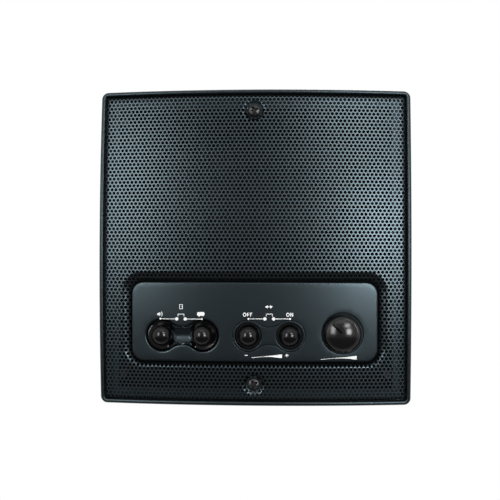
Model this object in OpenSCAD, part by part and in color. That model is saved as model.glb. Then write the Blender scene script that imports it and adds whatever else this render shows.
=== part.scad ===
// Wall-mounted intercom room station.
// X runs to the right, Y into the wall and Z up. The wall's surface is the plane y = 0, so the front of
// the station has negative Y. The origin is midway between the two fixing screws, on the wall's surface.

/* [Frame] */
// Width of the moulded frame
frame_w = 210.5; // [200:0.5:230]
// Height of the moulded frame
frame_h = 212; // [206:0.5:230]
// Radius of the frame's outer corners
frame_corner_r = 4.5; // [3:0.5:6]
// Width of the rounded bead round the frame's front
rim_w = 2.9; // [2:0.1:4]
// Thickness of the flange that lies on the wall
flange_t = 2.5; // [2:0.1:3.5]
// Width of the flange, from the frame's outer edge inwards
flange_w = 19; // [16:0.5:22]

/* [Dome] */
// How far the middle of the front stands out from the wall
dome_depth = 27; // [26:0.5:32]
// Radius of the front's curve from side to side
dome_rh = 500; // [450:10:800]
// Radius of the front's curve from top to bottom
dome_rv = 737; // [600:1:1000]

/* [Grille] */
// Gap between the frame's bead and the grille
grille_gap = 1; // [0.6:0.1:1.6]
// Thickness of the grille's sheet
sheet_t = 0.8; // [0.6:0.1:1.2]
// Outer radius of the bend at the grille's edge
edge_bend_r = 2.2; // [1.6:0.1:3]
// Length of the grille's skirt behind the bend
skirt_len = 2.5; // [1.5:0.5:3]
// Width of the moat at the panel's left and right ends
moat_side = 5.7; // [4:0.1:7]
// Width of the moat above the panel
moat_top = 6.6; // [4:0.1:8]
// Width of the moat below the panel
moat_bottom = 3.2; // [2.5:0.1:5]
// Depth of the moat below the front
moat_depth = 4.2; // [3:0.1:5]
// Radius of the moat's outer corners
moat_corner_r = 13; // [10:0.5:16]
// Radius of the dimples round the fixing screws
dimple_r = 7.2; // [6.5:0.1:8]
// Depth of the dimples
dimple_depth = 2.2; // [1.5:0.1:3]
// Number of openings across the grille
openings_across = 12; // [6:1:12]

/* [Baffle] */
// Distance of the baffle's sides from the frame's outer sides
baffle_side = 12; // [11:0.1:14]
// Distance of the baffle's top and bottom from the frame's
baffle_end = 10.25; // [9.5:0.05:13]
// Thickness of the baffle plate
baffle_t = 3; // [2.5:0.1:3.5]
// Width of the baffle's window behind the control panel
window_w = 140; // [130:1:144]
// Height of the baffle's window behind the control panel
window_h = 36; // [30:1:37]

/* [Control panel] */
// Width of the control panel
panel_w = 165; // [160:0.5:170]
// Height of the control panel
panel_h = 53; // [50:0.5:56]
// Height of the panel's middle above the frame's bottom
panel_rise = 56.1; // [54:0.1:58]
// Radius of the panel's corners
panel_corner_r = 8; // [5:0.5:10]
// How far the panel's face lies behind the grille's
panel_drop = 1; // [0.5:0.1:1.5]
// Thickness of the panel's face
panel_t = 2.5; // [2:0.1:3]
// Thickness of the panel's side walls
panel_wall = 2.2; // [1.6:0.1:2.6]
// Gap between the panel and the grille's moat
panel_gap = 0.4; // [0.3:0.1:1]

/* [Rocker and buttons] */
// How far the middles of the rocker and of the buttons lie below the panel's middle
keys_drop = 9.2; // [8:0.1:10]
// Middle of the rocker, to the right of the origin
rocker_x = -48.1; // [-49:0.1:-47]
// Middle of the pair of buttons, to the right of the origin
buttons_x = 10.2; // [9:0.1:11]
// Distance between the balls of a pair
ball_pitch = 27.5; // [27:0.1:28]
// Radius of the ball heads
ball_r = 7.15; // [6:0.05:7.5]
// How far the middle of a ball lies behind the panel's face
ball_sink = 1; // [0:0.1:2]
// Radius of the round ends of the dumbbell openings
well_r = 10.5; // [10:0.1:11]
// Half height of the dumbbell openings at their waist
waist = 5.9; // [5.5:0.1:6.2]
// Clearance of the rocker in its opening
rocker_clear = 0.6; // [0.5:0.05:0.8]
// Clearance of the button guard in its opening
guard_clear = 0.15; // [0.1:0.05:0.3]
// Radius of the guard's round holes
guard_hole_r = 8.9; // [8.6:0.1:9]
// Radius of the rocker's pivot pin
pin_r = 1.5; // [1.2:0.1:1.8]
// Travel of the buttons
button_travel = 1.2; // [0.8:0.1:1.3]

/* [Volume knob] */
// Middle of the knob, to the right of the origin
knob_x = 58.95; // [57:0.05:60]
// How far the knob's middle lies below the panel's middle
knob_drop = 7.5; // [6:0.1:8]
// Radius of the knob
knob_r = 13; // [12:0.1:13.5]
// Height of the knob
knob_h = 11.4; // [10:0.1:12]
// Gap round the knob
knob_gap = 0.7; // [0.5:0.1:1]
// Angle of the pointer from twelve o'clock, anticlockwise
pointer_angle = 45; // [0:1:150]
// Radius of the potentiometer's shaft
shaft_r = 3; // [2.5:0.1:3.1]
// Radius of the potentiometer's can
can_r = 8.2; // [8:0.1:9]

/* [Loudspeaker] */
// Distance of the loudspeaker's middle from the frame's top
speaker_drop = 65; // [64.8:0.1:66]
// Distance between the middles of the oval's round ends
oval_straight = 64; // [60:0.5:66]
// Radius of the round ends of the baffle's opening
opening_r = 36; // [35:0.5:36.5]
// Radius of the round ends of the basket's flange
basket_r = 43; // [42.5:0.1:43.2]
// Depth from the basket's flange to the magnet
basket_depth = 22.5; // [21:0.5:28]
// Radius of the magnet
magnet_r = 32; // [30:0.5:36]
// Thickness of the magnet
magnet_t = 10; // [8:0.5:14]
// Inner radius of the voice coil's former
coil_r = 9.75; // [9:0.05:10]

/* [Circuit board] */
// Width of the circuit board
board_w = 150; // [148:0.5:152]
// Height of the circuit board
board_h = 38; // [37:0.1:38]
// Thickness of the circuit board
board_t = 1.6; // [1.2:0.1:2]
// Distance from the baffle's front to the back of the board
board_stand = 2.5; // [2.2:0.1:3]

/* [Fixing screws] */
// Distance of the fixing screws from the frame's top and bottom
fixing_inset = 14.5; // [14:0.1:15]
// Radius of the fixing screws
fixing_r = 2.08; // [1.8:0.02:2.2]
// Radius of the fixing screws' heads
fixing_head_r = 4.2; // [4:0.1:4.4]
// Height of the fixing screws' heads
fixing_head_h = 2.6; // [2:0.1:3]
// Length of the fixing screws behind the wall's surface
fixing_reach = 22; // [15:1:40]

/* [Hidden] */
$fn = 64;

// Fits and small clearances
touch_gap = 0.02;
run_gap = 0.04;
loose_gap = 0.2;
past = 1;

// Places on the frame
panel_z = panel_rise - frame_h / 2;
keys_z = panel_z - keys_drop;
knob_z = panel_z - knob_drop;
speaker_z = frame_h / 2 - speaker_drop;
baffle_w = frame_w - 2 * baffle_side;
baffle_h = frame_h - 2 * baffle_end;

// Planes from the wall forwards
flange_front = -flange_t;
flange_end_w = flange_w + 2.5;
baffle_back = flange_front;
baffle_front = baffle_back - baffle_t;
board_back = baffle_front - board_stand;
board_front = board_back - board_t;
front_limit = -dome_depth - 10;

// The front is the outside of a large ring that is turned about this upright axis
dome_axis_y = dome_rh - dome_depth;
dome_fn = 256;
dome_half_angle = 17;
dome_core = 100;
dome_core_r = dome_rh - dome_depth - dome_core;

// Grille outlines
grille_w = frame_w - 2 * (rim_w + grille_gap);
grille_h = frame_h - 2 * (rim_w + grille_gap);
grille_corner_r = 2.4;
moat_inner_w = panel_w + 2 * panel_gap;
moat_inner_h = panel_h + 2 * panel_gap;
moat_outer_w = moat_inner_w + 2 * moat_side;
moat_outer_h = moat_inner_h + moat_top + moat_bottom;
moat_outer_z = panel_z + (moat_top - moat_bottom) / 2;
side_steps = 10;
corner_steps = 4;
bend_steps = 3;
dome_steps = 7;
bead_steps = 6;

// Fixing screws, their dimples and pillars
fixing_z = frame_h / 2 - fixing_inset;
dimple_floor = dome_y(0, fixing_z, 0) + dimple_depth;
dimple_hole_r = fixing_r + 0.35;
dimple_trim = 0.6;
dimple_past = 2;
dimple_skin = 0.05;
fixing_neck_r = fixing_r - 0.3;
fixing_thread_from = 0.4;
fixing_point_h = 2;
fixing_tip_r = 0.6;
fixing_slot_w = 1.1;
pillar_front = dimple_floor + sheet_t;
pillar_r = 6;
retainer_r = 5;
retainer_back = -0.1;
retainer_front = retainer_back - 1.4;

// Staggered openings of the grille, in rows from one fixing screw to the other
grid_margin = 2;
grid_pitch = (grille_w - 2 * (edge_bend_r + grid_margin)) / openings_across;
grid_r = 0.37 * grid_pitch;
grid_rows = 2 * round(fixing_z / (grid_pitch * sqrt(3) / 2));
grid_row_h = 2 * fixing_z / grid_rows;

// Rocker, buttons and switches
switch_w = 6.2;
switch_h = 3.5;
cover_t = 0.3;
plunger_r = 1.75;
plunger_out = 1.5;
plunger_len = 3.4;
switch_top = board_front - switch_h;
cover_top = switch_top - cover_t;
plunger_top = cover_top - plunger_out;
plunger_back = plunger_top + plunger_len;
switch_well_back = plunger_back + button_travel + 0.2;
foot_r = 2;
foot_gap = 0.05;
foot_neck = 0.2;
foot_y = plunger_top - foot_gap - foot_r;
head_lap = 0.4;
hub_trim = 0.4;
pin_y = plunger_top - 0.3;
hub_r = pin_r + 1.3;
hub_half = waist - 0.2;
ear_gap = 0.4;
ear_t = 2.5;
ear_w = 6;
ear_wall = 1.3;
key_flange_r = guard_hole_r + 0.7;
key_flange_t = 1.4;
guard_flange_t = 1.5;
guard_lip = 1.8;
key_drop_x = abs(buttons_x) + ball_pitch / 2 + key_flange_r;
key_drop_z = keys_z - key_flange_r;
guard_back_depth = panel_drop + panel_t + touch_gap + guard_flange_t;
key_flange_front = dome_y(key_drop_x, key_drop_z, guard_back_depth) + loose_gap;
rocker_depth = panel_drop + 0.5;
rocker_back = plunger_top - 1.3;
rocker_balls = [rocker_x - ball_pitch / 2, rocker_x + ball_pitch / 2];
button_balls = [buttons_x - ball_pitch / 2, buttons_x + ball_pitch / 2];
rocker_slope = atan2(rocker_y(rocker_balls[1]) - rocker_y(rocker_balls[0]), ball_pitch);
end_steps = 24;
waist_steps = 8;
bowl_r = 22;
bowl_depth = 1.8;
trough_depth = 2.5;

// Knob and potentiometer
pocket_r = knob_r + knob_gap;
pocket_edge = pocket_r / sqrt(2);
pocket_sink = 0.5;
pocket_floor = dome_y(knob_x + pocket_edge, knob_z - pocket_edge, panel_drop) + pocket_sink;
pocket_floor_t = 2;
pocket_wall = 1.8;
pocket_back = pocket_floor + pocket_floor_t;
knob_lift = 0.5;
knob_base = pocket_floor - knob_lift;
knob_top = knob_base - knob_h;
knob_skirt_h = 3;
knob_shoulder = 0.4;
pointer_w = 0.7;
pointer_cut = 0.6;
pointer_len = 9.4;
shaft_end_gap = 0.3;
lug_pitch = 4;
lug_w = 1.2;
lug_h = 1;
lug_len = 2.5;
bushing_r = 3.5;
washer_t = 0.5;
nut_t = 2;
nut_r = 5.8;
bushing_front = pocket_floor - washer_t - nut_t - 0.6;
knob_cavity_r = nut_r + 1.4;
knob_cavity_top = bushing_front - 0.5;
shaft_front = knob_top + 2.2;
shaft_back = pocket_back + 4;

// Posts of the panel: for the board and for the screws that come through the baffle
board_post_r = 2.8;
board_post_x = board_w / 2 - 4.5;
board_post_z = board_h / 2 - 3.5;
board_posts = [
    [-board_post_x, panel_z + board_post_z],
    [board_post_x, panel_z + board_post_z],
    [(rocker_x + buttons_x) / 2 - 1.2, panel_z - board_post_z],
    [(buttons_x + ball_pitch / 2 + knob_x) / 2 - 1.5, panel_z - board_post_z],
];
panel_post_r = 2.4;
panel_post_x = 48.1;
panel_post_z = panel_h / 2 - panel_wall - panel_post_r + 0.6;
panel_posts = [for (x = [-1, 1], z = [-1, 1]) [x * panel_post_x, panel_z + z * panel_post_z]];
screw_r = 1.2;
screw_head_r = 2.5;
screw_head_h = 1.7;
board_screw_grip = 4;
panel_screw_grip = 7;

// Screws that hold the baffle to the flange
baffle_screw_x = (baffle_w / 2 + frame_w / 2 - flange_w) / 2;
baffle_screw_inset = 20;
baffle_screw_z = frame_h / 2 - baffle_screw_inset;
baffle_screw_end = -0.3;
window_corner_r = 3;

// Loudspeaker, from its flange backwards
gasket_t = 1;
basket_t = 1.2;
ring_w = 8;
gasket_back = baffle_back + gasket_t;
basket_flange_back = gasket_back + basket_t;
surround_r = 2.2;
surround_mid = opening_r - 2.4;
surround_t = 0.5;
surround_lip = 2.6;
cone_r = surround_mid - surround_r;
cone_t = 0.6;
cone_throat = gasket_back + 14.5;
former_t = 0.25;
former_r = coil_r + former_t;
winding_t = 0.45;
rear_ring_front = gasket_back + basket_depth - 3.6;
rear_ring_back = gasket_back + basket_depth;
rear_ring_r = 31;
rear_hole_r = 24;
plate_t = 4;
plate_r = magnet_r - 3;
magnet_front = rear_ring_back + plate_t;
magnet_back = magnet_front + magnet_t;
coil_gap = 0.4;
speaker_screw_r = 1.5;
speaker_screw_at = (opening_r + basket_r) / 2 + 0.7;
tag_strip_z = speaker_z - basket_r + 1.5;

// Dust cap, voice coil and spider
cap_base_r = former_r + 1.6;
cap_h = 4;
cap_t = 0.5;
cap_y = cone_throat - 2.6;
former_front = cone_throat - 2;
coil_over = 1.3;
coil_back = magnet_front + coil_over;
coil_front = rear_ring_back - coil_over;
spider_t = 0.4;
spider_waves = 3;
spider_wave_h = 0.9;
spider_outer_r = rear_ring_r - 1.8;

// Ribs of the basket, as angles round its middle
rib_w = 9;
rib_turns = [0, 55, 125];
funnel_fn = 48;
sliver = 0.02;

// Tag strip below the loudspeaker
tag_strip_w = 22;
tag_strip_t = 1.2;
tag_strip_len = 9;
tag_x = 6;
tag_w = 3;
tag_t = 0.5;
tag_from = basket_flange_back + 4;
tag_to = basket_flange_back + tag_strip_len + 3;
tag_z = tag_strip_z - (tag_strip_t + tag_t) / 2;

// Parts behind the circuit board. Places are [x, z], with z from the middle of the board
board_corner_r = 1.5;
chip_z = -8;
control_chip_x = 36;
control_chip_size = [26, 8, 4];
amplifier_x = -5;
amplifier_size = [20, 6.5, 3.6];
big_can = [5, 15];
small_can = [4, 12];
big_can_places = [[-62, -8.1], [-49, -9.1]];
small_can_places = [[-35, -10.1], [52, 10.9], [62.5, 9.9]];
resistor_r = 1.1;
resistor_len = 6.4;
resistor_rows = [5.9, 9.9, 13.9];
resistor_places = concat(
    [for (x = [-20, 30], z = resistor_rows) [x, z]],
    [for (z = [-12.1, -8.1]) [12, z]]
);
transistor_r = 2.4;
transistor_h = 5.5;
transistor_flat = 1.6;
transistor_places = [for (x = [-8, 0, 42]) [x, 9.9]];
terminal_ways = 5;
terminal_pitch = 5;
terminal_x = -46;
terminal_z = panel_z + 9.9;
terminal_h = 10;
terminal_d = 9;
terminal_well_r = 1.9;
terminal_screw_r = 1.8;
terminal_screw_from = board_back + 4;
terminal_screw_to = board_back + terminal_h - 1;
terminal_slot = [4, 1.4, 0.7];
entry_w = 2.8;
entry_from = board_back + 1.2;
entry_to = board_back + 3.6;
entry_len = 4;
header_x = 14;
header_z = panel_z + 12.9;
header_size = [6, 4.5, 5];

// Leads from the board to the loudspeaker. Way points are fractions of the way from end to end
lead_r = 0.75;
lead_sides = 8;
lead_steps = 4;
lead_half_pitch = 1.2;
lead_tag_y = (tag_from + tag_to) / 2 + 1.8;
lead_tag_z = tag_z - tag_t / 2 - loose_gap;
red_way = [
    [0, 0, 0], [0, 0.4, 0], [0.12, 0.72, 0.18], [0.56, 0.92, 0.5], [0.93, 1, 0.77], [1, 1, 1],
];
black_way = [
    [0, 0, 0], [0, 0.48, 0], [0.1, 0.92, 0.18], [0.48, 1.16, 0.42], [0.86, 1.2, 0.65], [1, 1.08, 0.83],
    [1, 1, 1],
];

// Depth of the dome's surface, pushed back by the given depth
function dome_radius(z, depth) = dome_rh - dome_rv + sqrt(pow(dome_rv - depth, 2) - z * z);
function dome_y(x, z, depth) = dome_axis_y - sqrt(pow(dome_radius(z, depth), 2) - x * x);

function lerp(a, b, t) = a + (b - a) * t;

// Rounded rectangle with the same number of points at any size, as [x, z]
function corner_point(w, h, r, zc, q, a) =
    let (sx = (q == 0 || q == 3) ? 1 : -1, sz = q < 2 ? 1 : -1)
    [sx * (w / 2 - r) + r * cos(a), zc + sz * (h / 2 - r) + r * sin(a)];
function outline(w, h, r, zc) = [
    for (q = [0:3])
        each concat(
            [for (i = [0:corner_steps]) corner_point(w, h, r, zc, q, 90 * (q + i / corner_steps))],
            [for (i = [1:side_steps - 1])
                lerp(corner_point(w, h, r, zc, q, 90 * (q + 1)),
                     corner_point(w, h, r, zc, (q + 1) % 4, 90 * (q + 1)), i / side_steps)]
        )
];
function on_dome(points, depth) = [for (p = points) [p[0], dome_y(p[0], p[1], depth), p[1]]];
function on_plane(points, y) = [for (p = points) [p[0], y, p[1]]];
function between(a, b, t) = [for (i = [0:len(a) - 1]) lerp(a[i], b[i], t)];
function inset_outline(w, h, r, i) = outline(w - 2 * i, h - 2 * i, max(r - i, 0.4), 0);

// Closed solid whose skin runs through the rings and back to the first one
module ring_solid(rings) {
    n = len(rings[0]);
    m = len(rings);
    polyhedron(
        points = [for (ring = rings) each ring],
        faces = [
            for (i = [0:m - 1], j = [0:n - 1])
                let (a = i * n + j, b = i * n + (j + 1) % n,
                     c = (i + 1) % m * n + (j + 1) % n, d = (i + 1) % m * n + j)
                each [[a, c, b], [a, d, c]]
        ]
    );
}

// Solid tube along a route, with flat ends
function spline(p, i, t) =
    let (a = p[max(i - 1, 0)], b = p[i], c = p[i + 1], d = p[min(i + 2, len(p) - 1)])
    0.5 * (2 * b + (c - a) * t + (2 * a - 5 * b + 4 * c - d) * t * t + (3 * b - a - 3 * c + d) * t * t * t);
function smooth_route(p) = concat(
    [for (i = [0:len(p) - 2], k = [0:lead_steps - 1]) spline(p, i, k / lead_steps)],
    [p[len(p) - 1]]
);
function unit(v) = v / norm(v);
function tube_ring(route, i, r) =
    let (ahead = route[min(i + 1, len(route) - 1)] - route[max(i - 1, 0)],
         u = unit(cross(ahead, [1, 0, 0])), v = unit(cross(ahead, u)))
    [for (k = [0:lead_sides - 1])
        route[i] + r * (cos(360 * k / lead_sides) * u + sin(360 * k / lead_sides) * v)];
function lead_route(side, way) =
    let (from = [header_x - side * lead_half_pitch, board_back + header_size[2] + loose_gap, header_z],
         to = [side * tag_x, lead_tag_y, lead_tag_z])
    [for (w = way) [for (i = [0:2]) lerp(from[i], to[i], w[i])]];
module tube(points, r) {
    route = smooth_route(points);
    m = len(route);
    n = lead_sides;
    polyhedron(
        points = [for (i = [0:m - 1]) each tube_ring(route, i, r)],
        faces = concat(
            [[for (k = [0:n - 1]) k], [for (k = [n - 1:-1:0]) (m - 1) * n + k]],
            [for (i = [0:m - 2], k = [0:n - 1])
                let (a = i * n + k, b = i * n + (k + 1) % n)
                each [[a, a + n, b + n], [a, b + n, b]]]
        )
    );
}

// Everything behind the dome's surface, pushed back by the given depth
module dome(depth) {
    translate([0, dome_axis_y, 0])
        rotate(270 - dome_half_angle)
            rotate_extrude(angle = 2 * dome_half_angle, $fn = dome_fn)
                intersection() {
                    translate([dome_rh - dome_rv, 0]) circle(dome_rv - depth, $fn = 4 * dome_fn);
                    translate([dome_core_r, -frame_h]) square([dome_rh - dome_core_r + past, 2 * frame_h]);
                }
}

// Outline in the XZ plane, drawn out between two depths
module slab(front, back) {
    translate([0, back, 0]) rotate([90, 0, 0]) linear_extrude(back - front) children();
}
module rod(x, z, r, front, back) {
    translate([x, back, z]) rotate([90, 0, 0]) cylinder(r = r, h = back - front);
}
module taper(x, z, front_r, back_r, front, back) {
    translate([x, back, z]) rotate([90, 0, 0]) cylinder(r1 = back_r, r2 = front_r, h = back - front);
}
module ball(x, y, z, r) {
    translate([x, y, z]) sphere(r);
}
// Profile of radius and height, turned about an axis that points forwards from y
module turned(x, z, y) {
    translate([x, y, z]) rotate([90, 0, 0]) rotate_extrude() children();
}
module block(x, z, w, h, front, back) {
    translate([x - w / 2, front, z - h / 2]) cube([w, back - front, h]);
}

module rounded_rect(w, h, r) {
    square([w - 2 * r, h], center = true);
    square([w, h - 2 * r], center = true);
    for (x = [-1, 1], y = [-1, 1])
        translate([x * (w / 2 - r), y * (h / 2 - r)]) circle(r);
}
module oval(r) {
    square([oval_straight, 2 * r], center = true);
    for (x = [-1, 1])
        translate([x * oval_straight / 2, 0]) circle(r);
}
// Two round ends that are joined by hollow curves, with the given half height at the waist
function arc(x, z, r, from, to, steps) = [for (i = [0:steps - 1])
    let (a = lerp(from, to, i / steps)) [x + r * cos(a), z + r * sin(a)]];
module dumbbell(r, half) {
    mid = ball_pitch / 2;
    hollow_r = (mid * mid + half * half - r * r) / (2 * (r - half));
    hollow_z = half + hollow_r;
    meet = atan2(hollow_z, -mid);
    polygon(concat(
        arc(mid, 0, r, -meet, meet, end_steps),
        arc(0, hollow_z, hollow_r, meet - 180, -meet, waist_steps),
        arc(-mid, 0, r, 180 - meet, 180 + meet, end_steps),
        arc(0, -hollow_z, hollow_r, meet, 180 - meet, waist_steps)
    ));
}
// Round head with a cross recess, from its seat to the given height: backwards, or forwards if negative
module cross_head(x, z, r, seat, height) {
    difference() {
        rod(x, z, r, min(seat, seat + height), max(seat, seat + height));
        for (turn = [0, 90])
            translate([x, seat + height, z])
                rotate([0, turn, 0])
                    cube([r * 1.2, abs(height), r * 0.28], center = true);
    }
}
// Small screw that is driven from behind: its head lies on the seat
module small_screw(x, z, r, seat, length) {
    cross_head(x, z, screw_head_r, seat, screw_head_h);
    rod(x, z, r, seat - length, seat);
}

module bezel_frame() {
    bead_r = rim_w / 2;
    wall_r = frame_corner_r;
    color("#1c1c1e") {
        ring_solid(concat(
            [on_plane(inset_outline(frame_w, frame_h, wall_r, 0), 0)],
            [for (k = [0:bead_steps])
                on_dome(inset_outline(frame_w, frame_h, wall_r, bead_r * (1 - cos(180 * k / bead_steps))),
                        bead_r * (1 - sin(180 * k / bead_steps)))],
            [on_plane(inset_outline(frame_w, frame_h, wall_r, rim_w), 0)]
        ));
        difference() {
            union() {
                slab(flange_front, 0)
                    difference() {
                        rounded_rect(frame_w - rim_w, frame_h - rim_w, frame_corner_r - rim_w / 2);
                        square([frame_w - 2 * flange_w, frame_h - 2 * flange_end_w], center = true);
                    }
                for (z = [-fixing_z, fixing_z])
                    rod(0, z, pillar_r, pillar_front + touch_gap, flange_front + past);
            }
            for (z = [-fixing_z, fixing_z]) {
                rod(0, z, dimple_hole_r, front_limit, past);
                rod(0, z, retainer_r + loose_gap, retainer_front, past);
            }
            for (x = [-baffle_screw_x, baffle_screw_x], z = [-baffle_screw_z, baffle_screw_z])
                rod(x, z, screw_r + touch_gap, front_limit, past);
        }
    }
}

module baffle() {
    color("#46484c")
        difference() {
            slab(baffle_front, baffle_back) square([baffle_w, baffle_h], center = true);
            slab(baffle_front - past, baffle_back + past) translate([0, speaker_z]) oval(opening_r);
            slab(baffle_front - past, baffle_back + past)
                translate([0, panel_z]) rounded_rect(window_w, window_h, window_corner_r);
            for (z = [-fixing_z, fixing_z])
                rod(0, z, pillar_r + loose_gap, baffle_front - past, baffle_back + past);
            for (p = panel_posts)
                rod(p[0], p[1], screw_r + loose_gap, baffle_front - past, baffle_back + past);
            for (p = speaker_screw_places())
                rod(p[0], p[1], speaker_screw_r + touch_gap, baffle_front - past, baffle_back + past);
            for (x = [-baffle_screw_x, baffle_screw_x], z = [-baffle_screw_z, baffle_screw_z])
                rod(x, z, screw_r + loose_gap, baffle_front - past, baffle_back + past);
        }
}

module baffle_screws() {
    color("#8d9094")
        for (x = [-baffle_screw_x, baffle_screw_x], z = [-baffle_screw_z, baffle_screw_z]) {
            cross_head(x, z, screw_head_r, baffle_front, -screw_head_h);
            rod(x, z, screw_r, baffle_front, baffle_screw_end);
        }
}

// Rings of one skin of the grille, from the panel's edge outwards, set back by the given depth
function grille_skin(back) =
    let (inner = outline(moat_inner_w, moat_inner_h, panel_corner_r + panel_gap, panel_z),
         outer = outline(moat_outer_w, moat_outer_h, moat_corner_r, moat_outer_z),
         bend = edge_bend_r - back,
         edge = inset_outline(grille_w, grille_h, grille_corner_r, edge_bend_r))
    concat(
        [on_dome(inner, moat_depth + back), on_dome(between(inner, outer, 0.75), moat_depth * 0.15 + back)],
        [for (k = [0:dome_steps]) on_dome(between(outer, edge, k / dome_steps), back)],
        [for (k = [1:bend_steps])
            let (a = 90 * k / bend_steps)
            on_dome(inset_outline(grille_w, grille_h, grille_corner_r, edge_bend_r - bend * sin(a)),
                    edge_bend_r - bend * cos(a))],
        [on_dome(inset_outline(grille_w, grille_h, grille_corner_r, back), edge_bend_r + skirt_len)]
    );
function reversed(list) = [for (i = [len(list) - 1:-1:0]) list[i]];

// Openings that lie clear of the moat and of the screws' dimples
function grid_clear(x, z) =
    abs(z - moat_outer_z) > moat_outer_h / 2 + grid_r + grid_margin / 2
    && min(norm([x, z - fixing_z]), norm([x, z + fixing_z]))
        > dimple_r + sheet_t + grid_r + grid_margin / 2;
module grille_openings() {
    for (row = [0:grid_rows]) {
        z = fixing_z - row * grid_row_h;
        count = openings_across - (row + 1) % 2;
        for (i = [0:count - 1]) {
            x = (i - (count - 1) / 2) * grid_pitch;
            if (grid_clear(x, z))
                translate([x, z]) circle(grid_r, $fn = 6);
        }
    }
}

module grille() {
    color("#3a3d42") {
        difference() {
            ring_solid(concat(reversed(grille_skin(0)), grille_skin(sheet_t)));
            slab(front_limit, flange_front) grille_openings();
            for (z = [-fixing_z, fixing_z])
                rod(0, z, dimple_r - dimple_trim, front_limit, flange_front);
        }
        intersection() {
            for (z = [-fixing_z, fixing_z])
                turned(0, z, dimple_floor + sheet_t)
                    polygon([
                        [dimple_hole_r, 0],
                        [dimple_r - dimple_depth, 0],
                        [dimple_r + sheet_t, dimple_depth + dimple_past],
                        [dimple_r, dimple_depth + dimple_past],
                        [dimple_r - dimple_depth - sheet_t, sheet_t],
                        [dimple_hole_r, sheet_t],
                    ]);
            dome(dimple_skin);
        }
    }
}

module panel_outline(inset) {
    translate([0, panel_z])
        rounded_rect(panel_w - 2 * inset, panel_h - 2 * inset, panel_corner_r - inset);
}
module rocker_outline(grow) {
    translate([rocker_x, keys_z]) dumbbell(well_r + grow, waist + grow);
}
module guard_outline(grow) {
    translate([buttons_x, keys_z]) dumbbell(well_r + grow, waist + grow);
}

// Posts and bosses that stand behind the panel's face
module panel_posts_and_bosses() {
    for (p = board_posts)
        rod(p[0], p[1], board_post_r, front_limit, board_front);
    for (p = panel_posts)
        rod(p[0], p[1], panel_post_r, front_limit, baffle_front + 2 * past);
    rod(knob_x, knob_z, pocket_r + pocket_wall, front_limit, pocket_back);
    for (s = [-1, 1])
        block(rocker_x, keys_z + s * (hub_half + ear_gap + ear_t / 2), ear_w, ear_t,
              front_limit, pin_y + pin_r + ear_wall);
}

module control_panel() {
    color("#2e3034")
        difference() {
            intersection() {
                slab(front_limit, baffle_front) panel_outline(0);
                dome(panel_drop);
            }
            difference() {
                intersection() {
                    slab(front_limit, baffle_front + past) panel_outline(panel_wall);
                    dome(panel_drop + panel_t);
                }
                panel_posts_and_bosses();
            }
            slab(front_limit, board_front) rocker_outline(0);
            slab(front_limit, board_front) guard_outline(0);
            rod(knob_x, knob_z, pocket_r, front_limit, pocket_floor);
            rod(knob_x, knob_z, bushing_r + run_gap, front_limit, pocket_back + past);
            for (p = board_posts)
                rod(p[0], p[1], screw_r + touch_gap,
                    board_front - board_screw_grip - past, board_front + past);
            for (p = panel_posts)
                rod(p[0], p[1], screw_r + touch_gap,
                    baffle_front - panel_screw_grip - past, baffle_front + past);
            translate([rocker_x, pin_y, keys_z - hub_half - ear_gap - ear_t - past])
                cylinder(r = pin_r + touch_gap, h = 2 * (hub_half + ear_gap + ear_t + past));
        }
}

module panel_screws() {
    color("#8d9094")
        for (p = panel_posts)
            small_screw(p[0], p[1], screw_r, baffle_back, baffle_t + panel_screw_grip);
}

module button_guard() {
    front_depth = panel_drop;
    back_depth = panel_drop + panel_t + touch_gap;
    color("#2e3034")
        difference() {
            union() {
                intersection() {
                    slab(front_limit, board_front) guard_outline(-guard_clear);
                    dome(front_depth);
                }
                intersection() {
                    slab(front_limit, board_front) guard_outline(guard_lip);
                    dome(back_depth);
                }
            }
            dome(back_depth + guard_flange_t);
            for (x = button_balls)
                rod(x, keys_z, guard_hole_r, front_limit, board_front);
        }
}

module fixing_screws() {
    color("#222326")
        for (z = [-fixing_z, fixing_z]) {
            difference() {
                intersection() {
                    rod(0, z, fixing_head_r, dimple_floor - fixing_head_h, dimple_floor);
                    ball(0, dimple_floor - fixing_head_h + 2 * fixing_head_r, z, 2 * fixing_head_r);
                }
                for (turn = [0, 90])
                    translate([0, dimple_floor - fixing_head_h, z])
                        rotate([0, turn, 0])
                            cube([fixing_head_r * 1.2, fixing_head_h * 1.1, fixing_slot_w], center = true);
            }
            rod(0, z, fixing_neck_r, dimple_floor, fixing_thread_from + past);
            rod(0, z, fixing_r, fixing_thread_from, fixing_reach - fixing_point_h);
            taper(0, z, fixing_r, fixing_tip_r, fixing_reach - fixing_point_h, fixing_reach);
        }
}

module screw_retainers() {
    color("#e4e2da")
        for (z = [-fixing_z, fixing_z])
            difference() {
                rod(0, z, retainer_r, retainer_front, retainer_back);
                rod(0, z, fixing_neck_r + touch_gap, retainer_front - past, past);
            }
}

// Middle of a ball head, and the rocker's face: both follow the panel's face
function ball_y(x) = dome_y(x, keys_z, panel_drop + ball_sink);
function rocker_y(x) = dome_y(x, keys_z, rocker_depth);

// Ball head that is cut flat behind
module ball_head(x, back) {
    turned(x, keys_z, back)
        intersection() {
            translate([0, back - ball_y(x)]) circle(ball_r);
            square([2 * ball_r, 4 * ball_r]);
        }
}

// Dumbbell with a shallow bowl round each ball and a trough between them
module rocker_dish() {
    difference() {
        intersection() {
            slab(front_limit, rocker_back) rocker_outline(-rocker_clear);
            dome(rocker_depth);
        }
        for (x = rocker_balls)
            turned(x, keys_z, rocker_y(x) + bowl_depth)
                intersection() {
                    translate([0, bowl_r]) circle(bowl_r);
                    square(bowl_r);
                }
        translate([rocker_x, rocker_y(rocker_x) + trough_depth - waist, keys_z])
            rotate([0, 90, rocker_slope])
                cylinder(r = waist, h = ball_pitch, center = true);
    }
}

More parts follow.
